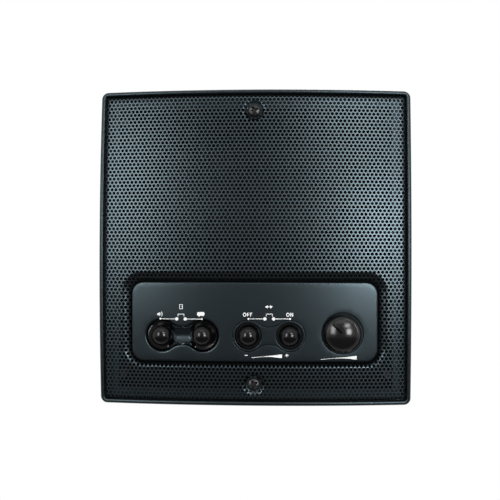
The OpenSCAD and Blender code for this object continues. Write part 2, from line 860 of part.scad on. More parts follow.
module door_rocker() {
    color("#101012")
        difference() {
            union() {
                rocker_dish();
                for (x = rocker_balls) {
                    ball_head(x, rocker_back - head_lap);
                    rod(x, keys_z, foot_r - foot_neck, rocker_back - past, foot_y);
                    ball(x, foot_y, keys_z, foot_r);
                }
                translate([rocker_x, pin_y, keys_z - hub_half]) cylinder(r = hub_r, h = 2 * hub_half);
                block(rocker_x, keys_z, 2 * (hub_r - hub_trim), 2 * (hub_half - hub_trim),
                      rocker_back - past, pin_y);
            }
            translate([rocker_x, pin_y, keys_z - hub_half - past])
                cylinder(r = pin_r + run_gap, h = 2 * (hub_half + past));
        }
}

module rocker_pin() {
    pin_half = hub_half + ear_gap + ear_t;
    color("#b9bcc0")
        translate([rocker_x, pin_y, keys_z - pin_half]) cylinder(r = pin_r, h = 2 * pin_half);
}

module plunger(x) {
    color("#26262a") rod(x, keys_z, plunger_r, plunger_top, plunger_back);
}
module left_plunger() {
    plunger(rocker_balls[0]);
}
module right_plunger() {
    plunger(rocker_balls[1]);
}

module ball_button(x) {
    color("#101012") {
        ball_head(x, key_flange_front + key_flange_t / 2);
        rod(x, keys_z, key_flange_r, key_flange_front, key_flange_front + key_flange_t);
        rod(x, keys_z, foot_r, key_flange_front, plunger_top);
    }
}
module minus_button() {
    ball_button(button_balls[0]);
}
module plus_button() {
    ball_button(button_balls[1]);
}
module minus_plunger() {
    plunger(button_balls[0]);
}
module plus_plunger() {
    plunger(button_balls[1]);
}

function switch_places() = concat(rocker_balls, button_balls);

module switch_bodies() {
    color("#1a1a1c")
        for (x = switch_places())
            difference() {
                block(x, keys_z, switch_w, switch_w, switch_top, board_front);
                rod(x, keys_z, plunger_r + run_gap, switch_top - past, switch_well_back);
            }
}

module switch_covers() {
    color("#c2c4c7")
        for (x = switch_places())
            difference() {
                block(x, keys_z, switch_w, switch_w, cover_top, switch_top);
                rod(x, keys_z, plunger_r + loose_gap, cover_top - past, switch_top + past);
            }
}

// Half profile of the knob, from its base up, with the given part of its skin taken off
module knob_profile(skin) {
    dome_base = knob_r - knob_shoulder;
    dome_h = knob_h - knob_skirt_h;
    cap_r = (dome_base * dome_base + dome_h * dome_h) / (2 * dome_h);
    square([knob_r - skin, knob_skirt_h - skin]);
    intersection() {
        translate([0, knob_h - cap_r]) circle(cap_r - skin);
        square([dome_base, knob_h]);
    }
}

module volume_knob() {
    color("#121214")
        difference() {
            turned(knob_x, knob_z, knob_base) knob_profile(0);
            difference() {
                translate([knob_x, 0, knob_z])
                    rotate([0, -pointer_angle, 0])
                        translate([-pointer_w / 2, front_limit, pointer_w / 2])
                            cube([pointer_w, knob_base - knob_skirt_h - front_limit, pointer_len]);
                turned(knob_x, knob_z, knob_base) knob_profile(pointer_cut);
            }
            rod(knob_x, knob_z, knob_cavity_r, knob_cavity_top, knob_base + past);
            rod(knob_x, knob_z, shaft_r + touch_gap, shaft_front - shaft_end_gap, knob_base + past);
        }
}

module pot_shaft() {
    color("#c9cbce") rod(knob_x, knob_z, shaft_r, shaft_front, shaft_back);
}

module pot_can() {
    color("#a9acb0")
        difference() {
            rod(knob_x, knob_z, can_r, pocket_back, board_front);
            rod(knob_x, knob_z, shaft_r + run_gap, pocket_back - past, shaft_back + shaft_end_gap);
        }
}

module pot_bushing() {
    color("#c8a24a")
        difference() {
            rod(knob_x, knob_z, bushing_r, bushing_front, pocket_back);
            rod(knob_x, knob_z, shaft_r + run_gap, bushing_front - past, pocket_back + past);
        }
}

module pot_washer() {
    color("#b9bcc0")
        difference() {
            rod(knob_x, knob_z, nut_r, pocket_floor - washer_t, pocket_floor);
            rod(knob_x, knob_z, bushing_r + loose_gap, pocket_floor - washer_t - past, pocket_floor + past);
        }
}

module pot_nut() {
    color("#b9bcc0")
        difference() {
            translate([knob_x, pocket_floor - washer_t, knob_z])
                rotate([90, 0, 0])
                    cylinder(r = nut_r, h = nut_t, $fn = 6);
            rod(knob_x, knob_z, bushing_r + run_gap, pocket_floor - washer_t - nut_t - past, pocket_floor);
        }
}

module pot_lugs() {
    color("#c9cbce")
        for (s = [-1:1])
            block(knob_x + lug_pitch * s, knob_z - can_r - loose_gap - lug_h / 2, lug_w, lug_h,
                  board_front - lug_len, board_front);
}

module circuit_board() {
    color("#2f6b43")
        difference() {
            slab(board_front, board_back)
                translate([0, panel_z]) rounded_rect(board_w, board_h, board_corner_r);
            for (p = board_posts)
                rod(p[0], p[1], screw_r + loose_gap, board_front - past, board_back + past);
        }
}

module board_screws() {
    color("#8d9094")
        for (p = board_posts)
            small_screw(p[0], p[1], screw_r, board_back, board_t + board_screw_grip);
}

// Block that stands behind the board
module board_block(x, z, size) {
    block(x, z, size[0], size[1], board_back, board_back + size[2]);
}

module control_chip() {
    color("#18181a") board_block(control_chip_x, panel_z + chip_z, control_chip_size);
}

module amplifier_chip() {
    color("#18181a") board_block(amplifier_x, panel_z + chip_z, amplifier_size);
}

module can(place, size) {
    rod(place[0], panel_z + place[1], size[0], board_back, board_back + size[1]);
}
module capacitors() {
    color("#23304a") {
        for (p = big_can_places)
            can(p, big_can);
        for (p = small_can_places)
            can(p, small_can);
    }
}

module resistors() {
    color("#c9a877")
        for (p = resistor_places)
            translate([p[0] - resistor_len / 2, board_back + resistor_r, panel_z + p[1]])
                rotate([0, 90, 0])
                    cylinder(r = resistor_r, h = resistor_len);
}

module transistors() {
    color("#1a1a1c")
        for (p = transistor_places)
            difference() {
                rod(p[0], panel_z + p[1], transistor_r, board_back, board_back + transistor_h);
                block(p[0], panel_z + p[1] - transistor_flat - transistor_r,
                      3 * transistor_r, 2 * transistor_r,
                      board_back - past, board_back + transistor_h + past);
            }
}

function terminal_places() = [for (i = [0:terminal_ways - 1])
    terminal_x + (i - (terminal_ways - 1) / 2) * terminal_pitch];

module terminal_block() {
    color("#3d6b3f")
        difference() {
            block(terminal_x, terminal_z, terminal_ways * terminal_pitch, terminal_d,
                  board_back, board_back + terminal_h);
            for (x = terminal_places()) {
                rod(x, terminal_z, terminal_well_r, terminal_screw_from, board_back + terminal_h + past);
                block(x, terminal_z + terminal_d / 2, entry_w, entry_len, entry_from, entry_to);
            }
        }
}

module terminal_screws() {
    color("#c9cbce")
        for (x = terminal_places())
            difference() {
                rod(x, terminal_z, terminal_screw_r, terminal_screw_from, terminal_screw_to);
                translate([x, terminal_screw_to, terminal_z]) cube(terminal_slot, center = true);
            }
}

module speaker_header() {
    color("#e6e3d8") board_block(header_x, header_z, header_size);
}

module speaker_lead_red() {
    color("#b3261e") tube(lead_route(1, red_way), lead_r);
}
module speaker_lead_black() {
    color("#1b1b1d") tube(lead_route(-1, black_way), lead_r);
}

function speaker_screw_places() = [for (x = [-1, 1], z = [-1, 1])
    [x * (oval_straight / 2 + speaker_screw_at * cos(45)), speaker_z + z * speaker_screw_at * sin(45)]];

module speaker_gasket() {
    color("#3b3a37")
        difference() {
            slab(baffle_back, gasket_back)
                translate([0, speaker_z])
                    difference() {
                        oval(basket_r);
                        oval(surround_mid + surround_r + surround_lip + loose_gap);
                    }
            for (p = speaker_screw_places())
                rod(p[0], p[1], speaker_screw_r + loose_gap, baffle_back - past, gasket_back + past);
        }
}

// Skin between the oval front and the round rear of the basket or the cone
module oval_funnel(front_r, back_r, front, back) {
    hull() {
        slab(front, front + sliver / 2) translate([0, speaker_z]) oval(front_r, $fn = funnel_fn);
        rod(0, speaker_z, back_r, back - sliver / 2, back, $fn = funnel_fn);
    }
}

module basket_window() {
    difference() {
        oval(basket_r - ring_w - basket_t / 2);
        circle(rear_ring_r + basket_t);
        for (turn = rib_turns)
            rotate(turn) square([3 * basket_r, rib_w], center = true);
    }
}

module speaker_basket() {
    shell_r = basket_r - ring_w + basket_t;
    shell_back = rear_ring_front + past;
    color("#7c8084")
        difference() {
            union() {
                slab(gasket_back, basket_flange_back)
                    translate([0, speaker_z])
                        difference() {
                            oval(basket_r);
                            oval(basket_r - ring_w);
                        }
                difference() {
                    oval_funnel(shell_r, rear_ring_r, gasket_back, shell_back);
                    oval_funnel(shell_r - basket_t, rear_ring_r - basket_t,
                                gasket_back - sliver, shell_back + sliver);
                    slab(basket_flange_back + past, rear_ring_back)
                        translate([0, speaker_z]) basket_window();
                }
                difference() {
                    rod(0, speaker_z, rear_ring_r, rear_ring_front, rear_ring_back);
                    rod(0, speaker_z, rear_hole_r, rear_ring_front - past, rear_ring_back + past);
                }
            }
            for (p = speaker_screw_places())
                rod(p[0], p[1], speaker_screw_r + loose_gap, gasket_back - past, basket_flange_back + past);
        }
}

module speaker_screws() {
    color("#8d9094")
        for (p = speaker_screw_places())
            small_screw(p[0], p[1], speaker_screw_r, basket_flange_back, basket_flange_back - baffle_front);
}

// Profile of radius and height, swept round the oval at the depth y, with its height forwards
module oval_sweep(y) {
    for (s = [-1, 1])
        translate([s * oval_straight / 2, y, speaker_z])
            rotate([90, 0, 0])
                rotate(-90 * s)
                    rotate_extrude(angle = 180) children();
    for (turn = [0, 180])
        translate([0, y, speaker_z])
            rotate([0, turn, 0])
                translate([-oval_straight / 2, 0, 0])
                    rotate([180, -90, 0])
                        linear_extrude(oval_straight) children();
}

// Cross-section of the surround: a half roll with a flat lip outside it
module surround_profile() {
    translate([surround_mid + surround_r - surround_t / 2, 0]) square([surround_lip, surround_t]);
    intersection() {
        translate([surround_mid, 0])
            difference() {
                circle(surround_r);
                circle(surround_r - surround_t);
            }
        translate([surround_mid - surround_r - past, 0])
            square([2 * (surround_r + past), surround_r + past]);
    }
}

module cone_surround() {
    color("#1d1d1f") oval_sweep(gasket_back) surround_profile();
}

module speaker_cone() {
    color("#2a2927")
        difference() {
            oval_funnel(cone_r, former_r + touch_gap + cone_t, gasket_back, cone_throat);
            oval_funnel(cone_r - cone_t, former_r + touch_gap, gasket_back - sliver, cone_throat + sliver);
        }
}

module dust_cap() {
    cap_r = (cap_base_r * cap_base_r + cap_h * cap_h) / (2 * cap_h);
    color("#232220")
        turned(0, speaker_z, cap_y)
            intersection() {
                translate([0, cap_h - cap_r])
                    difference() {
                        circle(cap_r);
                        circle(cap_r - cap_t);
                    }
                square([cap_base_r, cap_h + past]);
            }
}

module coil_former() {
    color("#c2a36b")
        difference() {
            rod(0, speaker_z, former_r, former_front, coil_back);
            rod(0, speaker_z, coil_r, former_front - past, coil_back + past);
        }
}

module coil_winding() {
    color("#a35a2a")
        difference() {
            rod(0, speaker_z, former_r + winding_t, coil_front, coil_back);
            rod(0, speaker_z, former_r, coil_front - past, coil_back + past);
        }
}

module spider() {
    wave_from = former_r + 1.4;
    wave_to = rear_hole_r - 0.6;
    steps = 8 * spider_waves;
    wave = [for (i = [0:steps])
        [lerp(wave_from, wave_to, i / steps), spider_wave_h * sin(360 * spider_waves * i / steps)]];
    top = concat([[former_r + touch_gap, 0]], wave, [[spider_outer_r, 0]]);
    color("#c9a83e")
        turned(0, speaker_z, rear_ring_front)
            polygon(concat(top, reversed([for (p = top) p + [0, spider_t]])));
}

module top_plate() {
    color("#9a9da1")
        difference() {
            rod(0, speaker_z, plate_r, rear_ring_back, magnet_front);
            rod(0, speaker_z, former_r + winding_t + coil_gap, rear_ring_back - past, magnet_front + past);
        }
}

module magnet() {
    color("#2b2c2e")
        difference() {
            rod(0, speaker_z, magnet_r, magnet_front, magnet_back);
            rod(0, speaker_z, magnet_r / 2, magnet_front - past, magnet_back + past);
        }
}

module back_plate() {
    color("#9a9da1") {
        rod(0, speaker_z, plate_r, magnet_back, magnet_back + plate_t);
        rod(0, speaker_z, coil_r - coil_gap, rear_ring_back, magnet_back);
    }
}

module tag_strip() {
    color("#7a4a24")
        block(0, tag_strip_z, tag_strip_w, tag_strip_t,
              basket_flange_back, basket_flange_back + tag_strip_len);
}

module solder_tags() {
    color("#d0b25a")
        for (x = [-tag_x, tag_x])
            block(x, tag_z, tag_w, tag_t, tag_from, tag_to);
}

bezel_frame();
baffle();
baffle_screws();
grille();
control_panel();
panel_screws();
button_guard();
fixing_screws();
screw_retainers();
door_rocker();
rocker_pin();
left_plunger();
right_plunger();
minus_button();
minus_plunger();
plus_button();
plus_plunger();
switch_bodies();
switch_covers();
volume_knob();
pot_shaft();
pot_can();
pot_bushing();
pot_washer();
pot_nut();
pot_lugs();
circuit_board();
board_screws();
control_chip();
amplifier_chip();
capacitors();
resistors();
transistors();
terminal_block();
terminal_screws();
speaker_header();
speaker_lead_red();
speaker_lead_black();
speaker_gasket();
speaker_basket();
speaker_screws();
cone_surround();
speaker_cone();
dust_cap();
coil_former();
coil_winding();
spider();
top_plate();
magnet();
back_plate();
tag_strip();
solder_tags();
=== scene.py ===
from math import acos, asin, atan2, ceil, copysign, cos, degrees, floor, hypot, pi, radians, sin, sqrt

import bmesh
import bpy
import numpy as np
from mathutils import Matrix, Vector
from mathutils.geometry import delaunay_2d_cdt


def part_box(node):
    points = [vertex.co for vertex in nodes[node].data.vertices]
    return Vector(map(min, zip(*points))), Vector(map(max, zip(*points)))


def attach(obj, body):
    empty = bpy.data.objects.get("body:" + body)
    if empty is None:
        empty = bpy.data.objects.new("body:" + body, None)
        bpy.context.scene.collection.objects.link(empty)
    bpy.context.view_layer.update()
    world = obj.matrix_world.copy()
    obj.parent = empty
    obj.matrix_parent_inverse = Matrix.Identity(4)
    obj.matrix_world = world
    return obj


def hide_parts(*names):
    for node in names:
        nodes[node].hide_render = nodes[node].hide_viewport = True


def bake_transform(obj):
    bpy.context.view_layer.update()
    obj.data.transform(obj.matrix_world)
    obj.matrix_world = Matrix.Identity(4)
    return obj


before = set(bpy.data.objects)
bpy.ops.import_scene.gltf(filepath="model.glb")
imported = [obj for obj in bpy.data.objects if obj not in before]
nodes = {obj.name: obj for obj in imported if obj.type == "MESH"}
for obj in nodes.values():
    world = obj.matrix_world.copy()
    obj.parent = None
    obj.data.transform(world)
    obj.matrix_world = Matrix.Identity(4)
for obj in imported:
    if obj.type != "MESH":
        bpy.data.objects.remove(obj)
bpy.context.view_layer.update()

scene = bpy.context.scene
scene.view_settings.view_transform = "Standard"
MM = 0.001

# Sizes in mm, as in the part's source
FRAME_W, FRAME_H, FRAME_R, RIM = 210.5, 212.0, 4.5, 2.9
FLANGE_T, FLANGE_W, FLANGE_END = 2.5, 19.0, 21.5
DOME_DEPTH, DOME_RH, DOME_RV = 27.0, 500.0, 737.0
GRILLE_W, GRILLE_H = FRAME_W - 7.8, FRAME_H - 7.8
SHEET, BEND_R, SKIRT = 0.8, 2.2, 2.5
MOAT_SIDE, MOAT_TOP, MOAT_BOTTOM, MOAT_DEPTH, MOAT_R = 5.7, 6.6, 3.2, 4.2, 13.0
PANEL_W, PANEL_H, PANEL_R, PANEL_Z = 165.0, 53.0, 8.0, -49.9
PANEL_DROP, PANEL_T, PANEL_WALL, PANEL_GAP, TOUCH = 1.0, 2.5, 2.2, 0.4, 0.02
BAFFLE_FRONT = -5.5
KEYS_Z, ROCKER_X, BUTTONS_X, BALL_X = -59.1, -48.1, 10.2, 27.5 / 2
BALL_R, BALL_SINK, WELL_R, WAIST = 7.15, 1.0, 10.5, 5.9
GUARD_HOLE_R, GUARD_CLEAR, GUARD_LIP, GUARD_FLANGE = 8.9, 0.15, 1.8, 1.5
ROCKER_CLEAR, ROCKER_DEPTH = 0.6, 1.5
PLUNGER_TOP = -14.9
ROCKER_BACK = PLUNGER_TOP - 1.3
PIN_Y, PIN_R = -15.2, 1.5
KNOB_X, KNOB_Z, KNOB_R, KNOB_H, KNOB_SKIRT = 58.95, -57.4, 13.0, 11.4, 3.0
POCKET_R, POCKET_T, BUSHING_R = 13.7, 2.0, 3.54
FIXING_Z, DIMPLE_HOLE_R, DIMPLE_DEPTH = 91.5, 2.43, 2.2
SCREW_R, NECK_R, HEAD_R, HEAD_H = 2.08, 1.78, 4.2, 2.6
THREAD_FROM, THREAD_TO, SCREW_END, SCREW_TIP_R = 0.4, 20.0, 22.0, 0.6
SPEAKER_Z, OVAL_STRAIGHT, GASKET_BACK = 41.0, 64.0, -1.5
SURROUND_MID, SURROUND_R, SURROUND_T, SURROUND_LIP = 33.6, 2.2, 0.5, 2.6
SPIDER_Y, SPIDER_T, SPIDER_IN, SPIDER_OUT = 17.4, 0.4, 10.02, 29.2
SPIDER_WAVES, SPIDER_WAVE_H, WAVE_FROM, WAVE_TO = 3, 0.9, 11.4, 23.4


# Outlines and surfaces
def dome_y(x, z, depth=0.0):
    """Height of the domed front, set back by a depth."""
    ring = DOME_RH - DOME_RV + np.sqrt((DOME_RV - depth) ** 2 - np.square(z))
    return DOME_RH - DOME_DEPTH - np.sqrt(np.square(ring) - np.square(x))


DIMPLE_Y = float(dome_y(0, FIXING_Z)) + DIMPLE_DEPTH


def face_of(depth):
    return lambda x, z: dome_y(x, z, depth)


def level(y):
    return lambda x, z: np.full(np.shape(x), float(y))


def raised(loop, y):
    """Points of a flat loop at the height y, one number or one for each point."""
    loop = np.asarray(loop, float)
    return np.column_stack([loop[:, 0], np.broadcast_to(y, len(loop)), loop[:, 1]])


def on_dome(loop, depth):
    return raised(loop, dome_y(loop[:, 0], loop[:, 1], depth))


def spokes(count):
    return np.arange(count) * 2 * pi / count


def arc(x, z, r, a):
    """Points at the angles a on a circle."""
    return np.column_stack([x + r * np.cos(a), z + r * np.sin(a)])


def circle_loop(x, z, r, count=96):
    return arc(x, z, r, spokes(count))


def turned_rings(x, z, profile, count=96):
    """Rings of a form turned about the line through (x, z) along Y; the profile has (r, y)."""
    return [raised(circle_loop(x, z, r, count if np.any(r) else 1), y) for r, y in profile]


def both_ends(*parts):
    """Loop of which one half is given; the other is the same, turned half round."""
    half = np.concatenate(parts)
    return np.concatenate([half, -half])


def curve(first, control, last, t):
    """Value on the way from the first to the last, drawn towards the control."""
    return first * (1 - t) ** 2 + control * 2 * t * (1 - t) + last * t * t


def rect_loop(w, h, r, zc=0.0, side=40, corner=8):
    """Rounded rectangle, always with the same number of points for the same counts."""
    points = []
    for sx, sz, start in ((1, 1, 0), (-1, 1, 90), (-1, -1, 180), (1, -1, 270)):
        turn = np.radians(start + 90 * np.arange(corner + 1) / corner)
        points += [*arc(sx * (w / 2 - r), sz * (h / 2 - r), r, turn)]
        x, z = points[-1]
        for k in range(1, side):
            t = 1 - 2 * k / side
            points.append((x * t, z) if start % 180 == 0 else (x, z * t))
    return np.array(points) + (0, zc)


def dumbbell_loop(x, grow, ends=56, waist=36):
    """Outline of a well, grown: two round ends joined by hollow arcs that meet them tangentially."""
    r, half, mid = WELL_R + grow, WAIST + grow, BALL_X
    hollow = (mid * mid + half * half - r * r) / (2 * (r - half))
    rise = half + hollow
    meet, back = atan2(rise, -mid), atan2(-rise, mid)
    end = arc(mid, 0, r, np.linspace(-meet, meet, ends + 1))
    side = arc(0, rise, hollow, back - (pi + 2 * back) * np.arange(1, waist) / waist)
    return both_ends(end, side) + (x, KEYS_Z)


def rect_sdf(p, w, h, r, zc):
    """Distance from a rounded rectangle, less than nothing inside it."""
    q = np.abs(p - (0, zc)) - (w / 2 - r, h / 2 - r)
    return np.linalg.norm(np.maximum(q, 0), axis=1) + np.minimum(q.max(axis=1), 0) - r


def smooth_step(a, b, v):
    t = np.clip((np.asarray(v, float) - a) / (b - a), 0, 1)
    return t * t * (3 - 2 * t)


def inside(loops, points):
    """Which points lie inside the first loop and outside the others, which are holes in it."""
    hit = np.zeros(len(points), bool)
    px, pz = points[:, 0], points[:, 1]
    for loop in loops:
        for (ax, az), (bx, bz) in zip(loop, np.roll(loop, -1, axis=0)):
            if az != bz:
                hit ^= ((az > pz) != (bz > pz)) & (px < (bx - ax) * (pz - az) / (bz - az) + ax)
    return hit


def fill_flat(loops, spacing, extra, extra_edges):
    """Triangles that fill the first loop less the others, with a grid of points inside.
    Returns all points, loops first and in order, and the triangles."""
    row_share, near_share, chunk_size, merge = 0.866, 0.6, 64, 1e-7
    points, edges = [], []
    for loop in loops:
        start, count = len(points), len(loop)
        points += [tuple(p) for p in loop]
        edges += [(start + k, start + (k + 1) % count) for k in range(count)]
    start = len(points)
    points += [tuple(p) for p in extra]
    edges += [(start + a, start + b) for a, b in extra_edges]
    if spacing:
        low, high = loops[0].min(axis=0), loops[0].max(axis=0)
        row_z = np.arange(low[1] + spacing / 2, high[1], spacing * row_share)
        column_x = np.arange(low[0] + spacing / 2, high[0], spacing)
        grid = [(x + spacing / 2 * (k % 2), z) for k, z in enumerate(row_z) for x in column_x]
        grid = np.array(grid).reshape(-1, 2)
        grid = grid[inside(loops, grid)]
        border = np.array(points)
        near = np.full(len(grid), np.inf)
        for chunk in np.array_split(border, max(1, len(border) // chunk_size)):
            far = np.linalg.norm(grid[:, None] - chunk[None], axis=2).min(axis=1)
            near = np.minimum(near, far)
        points += [tuple(p) for p in grid[near > spacing * near_share]]
    _, _, faces, origin, _, _ = delaunay_2d_cdt([Vector(p) for p in points], edges, [], 0, merge)
    back = [source[0] if source else k for k, source in enumerate(origin)]
    triangles = np.array([[back[i] for i in f] for f in faces if len(f) == 3])
    every = np.array(points)
    return every, triangles[inside(loops, every[triangles].mean(axis=1))]


class Shape:
    """Points and faces of one piece, in mm."""

    def __init__(self):
        self.points, self.faces = [], []
        self.fronts, self.backs = [], []

    def add(self, points):
        start = len(self.points)
        self.points += [tuple(float(v) for v in p) for p in points]
        return list(range(start, len(self.points)))

    def bridge(self, a, b):
        """Joins two rings of points; a ring of one point is a tip."""
        count = max(len(a), len(b))
        for k in range(count):
            n = (k + 1) % count
            corners = (a[k % len(a)], a[n % len(a)], b[n % len(b)], b[k % len(b)])
            self.faces.append(tuple(dict.fromkeys(corners)))

    def chain(self, rings, closed=False):
        """Joins rings of points one after another and returns the first and last ring."""
        ids = [self.add(r) for r in rings]
        for a, b in zip(ids, ids[1:] + ids[:1] * closed):
            self.bridge(a, b)
        return ids[0], ids[-1]

    def cap(self, ring, middle):
        self.bridge(ring, self.add([middle]))

    def fill(self, rings, lift=None, spacing=None, extra=(), extra_edges=()):
        """Fills the first ring less the others; lift gives y for the points in between."""
        loops = [np.array([self.points[i] for i in ring])[:, ::2] for ring in rings]
        every, triangles = fill_flat(loops, spacing, extra, extra_edges)
        ids = [i for ring in rings for i in ring]
        new = every[len(ids):]
        if len(new):
            ids = ids + self.add(raised(new, lift(*new.T)))
        self.faces += [tuple(ids[i] for i in t) for t in triangles]

    def edge(self, rings):
        """Joins rings from the front skin to the back skin; the outline comes before the openings."""
        first, last = self.chain(rings)
        self.fronts.append(first)
        self.backs.append(last)

    def skins(self, front=None, back=None, front_spacing=None, back_spacing=None):
        """Fills the front and the back between the edges that were added."""
        self.fill(self.fronts, front, front_spacing)
        self.fill(self.backs, back, back_spacing)
        self.fronts, self.backs = [], []

    def plates(self, outlines, front, back, spacing=None):
        """Thin closed plates; each outline is a loop with its holes, and front and back give y."""
        for loops in outlines:
            for loop in loops:
                self.edge([raised(loop, lift(*loop.T)) for lift in (front, back)])
            self.skins(front, back, spacing, spacing)

    def turned(self, x, z, profile, count=64):
        """Form turned about the line through (x, z) along Y; the profile of (r, y) runs from the
        middle to the middle."""
        self.chain(turned_rings(x, z, profile, count))

    def block(self, low, high):
        (x0, y0, z0), (x1, y1, z1) = low, high
        corners = ((x0, z0), (x1, z0), (x1, z1), (x0, z1))
        first, last = self.chain([raised(corners, y0), raised(corners, y1)])
        self.faces += [tuple(first), tuple(last)]


# Finishes
def wire(tree, node, inputs):
    """Gives each input its value, or a link where the value is a socket."""
    for name, value in inputs.items():
        if isinstance(value, bpy.types.NodeSocket):
            tree.links.new(value, node.inputs[name])
        else:
            node.inputs[name].default_value = value


def add_node(tree, kind, inputs=None):
    node = tree.nodes.new(kind)
    wire(tree, node, inputs or {})
    return node


def noise(tree, place, size, detail=3.0):
    """Cloud pattern with features of about the given size in mm."""
    inputs = {"Vector": place, "Scale": 1.0 / (size * MM), "Detail": detail, "Roughness": 0.55}
    return add_node(tree, "ShaderNodeTexNoise", inputs).outputs["Fac"]


def spread(tree, value, low, high, start=0.3, end=0.7):
    inputs = {"Value": value, "From Min": start, "From Max": end, "To Min": low, "To Max": high}
    return add_node(tree, "ShaderNodeMapRange", inputs).outputs["Result"]


def ramp(tree, value, dark, light):
    node = add_node(tree, "ShaderNodeValToRGB", {"Fac": value})
    for element, position, color in zip(node.color_ramp.elements, (0.3, 0.7), (dark, light)):
        element.position = position
        element.color = (*color, 1)
    return node.outputs["Color"]


paint = {}
PLAIN, COOL = (1, 1, 1), (0.66, 0.89, 1.0)


def finish(name, color, rough, cloud, spec=0.5, grain=None, gloss=(0.04, 2.0), metal=0.0, tint=PLAIN):
    """A finish with clouded colour (amount, size), a grain (strength, size, depth) and uneven
    gloss (span, size); sizes are in mm."""
    material = bpy.data.materials.new(name)
    material.use_nodes = True
    tree = material.node_tree
    place = add_node(tree, "ShaderNodeTexCoord").outputs["Object"]
    color = np.array(color, float)
    dark, light = color * (1 - cloud[0]), np.minimum(color * (1 + cloud[0]), 1)
    inputs = {"Metallic": metal, "Specular IOR Level": spec, "Specular Tint": (*tint, 1),
              "Base Color": ramp(tree, noise(tree, place, cloud[1]), dark, light),
              "Roughness": spread(tree, noise(tree, place, gloss[1]), rough - gloss[0], rough + gloss[0])}
    if grain:
        strength, size, depth = grain
        bump = {"Strength": strength, "Distance": depth * MM, "Height": noise(tree, place, size, 2.0)}
        inputs["Normal"] = add_node(tree, "ShaderNodeBump", bump).outputs["Normal"]
    wire(tree, tree.nodes["Principled BSDF"], inputs)
    paint[name] = material


finish("grille_paint", (0.0022, 0.0026, 0.0030), 0.34, (0.10, 14), 0.84, (0.10, 0.45, 0.02),
       (0.02, 2.0), tint=COOL)
# Painted shade: the walls of the perforation's holes get a darker, matt black than the sheet's paint, so
# that the holes read darker.
finish("hole_edge", (0.0012, 0.0013, 0.0015), 0.60, (0.20, 1.0), 0.10)
finish("frame_plastic", (0.0030, 0.0032, 0.0036), 0.34, (0.12, 9), 0.50, (0.12, 0.40, 0.02), tint=COOL)
finish("panel_plastic", (0.0020, 0.0022, 0.0026), 0.31, (0.10, 7), 0.56, (0.12, 0.34, 0.03),
       (0.02, 1.2), tint=COOL)
finish("guard_plastic", (0.0020, 0.0022, 0.0026), 0.32, (0.10, 7), 0.50, (0.12, 0.34, 0.03),
       (0.02, 1.2), tint=COOL)
finish("key_plastic", (0.0015, 0.0015, 0.0017), 0.17, (0.15, 5), 0.28, gloss=(0.025, 1.5))
finish("knob_plastic", (0.0018, 0.0018, 0.0020), 0.20, (0.15, 5), 0.40, gloss=(0.03, 1.5))
finish("mark_ink", (0.80, 0.82, 0.82), 0.55, (0.10, 0.6), 0.20)
finish("black_steel", (0.003, 0.003, 0.0034), 0.33, (0.25, 1.2), 0.40, (0.15, 0.30, 0.03))
finish("zinc_steel", (0.50, 0.51, 0.53), 0.38, (0.05, 5), 0.50, (0.08, 0.50, 0.03), (0.03, 2.0), metal=1.0)
finish("baffle_board", (0.004, 0.004, 0.0046), 0.78, (0.16, 1.6), 0.05, (0.50, 0.60, 0.05))
finish("white_nylon", (0.70, 0.69, 0.64), 0.45, (0.05, 3))
finish("black_moulding", (0.016, 0.016, 0.017), 0.45, (0.15, 2), 0.30, (0.20, 0.25, 0.03))
finish("brass", (0.62, 0.45, 0.16), 0.30, (0.15, 2), gloss=(0.08, 2.0), metal=1.0)
finish("tin", (0.66, 0.66, 0.64), 0.26, (0.12, 1.5), gloss=(0.08, 2.0), metal=1.0)
finish("board_laminate", (0.010, 0.050, 0.024), 0.30, (0.12, 5), 0.50, (0.10, 0.60, 0.03))
finish("board_copper", (0.050, 0.200, 0.080), 0.26, (0.10, 3))
finish("can_top", (0.60, 0.61, 0.62), 0.32, (0.05, 1), metal=1.0)
finish("can_sleeve", (0.018, 0.028, 0.065), 0.30, (0.10, 3), 0.40)
finish("resistor_body", (0.45, 0.33, 0.19), 0.45, (0.10, 0.8), 0.35)
finish("terminal_green", (0.03, 0.17, 0.07), 0.40, (0.08, 2), 0.35)
finish("red_insulation", (0.32, 0.022, 0.02), 0.42, (0.10, 2), 0.35)
finish("black_insulation", (0.014, 0.014, 0.015), 0.42, (0.10, 2), 0.35)
finish("gasket_board", (0.012, 0.0105, 0.009), 0.90, (0.20, 1.0), 0.05, (0.50, 0.30, 0.03))
finish("cone_paper", (0.009, 0.0088, 0.0085), 0.85, (0.30, 1.4), 0.08, (0.60, 0.45, 0.06))
finish("surround_cloth", (0.006, 0.006, 0.006), 0.75, (0.20, 0.7), 0.10, (0.60, 0.30, 0.05))
finish("former_paper", (0.42, 0.30, 0.17), 0.60, (0.12, 1))
finish("copper_wire", (0.62, 0.25, 0.10), 0.30, (0.15, 0.8), metal=1.0)
finish("spider_cloth", (0.46, 0.33, 0.10), 0.85, (0.15, 0.6), 0.15, (0.70, 0.35, 0.05))
finish("ferrite", (0.030, 0.030, 0.032), 0.55, (0.25, 1.5), 0.40, (0.50, 0.50, 0.05))
finish("phenolic", (0.20, 0.10, 0.045), 0.50, (0.20, 1.2), 0.35)


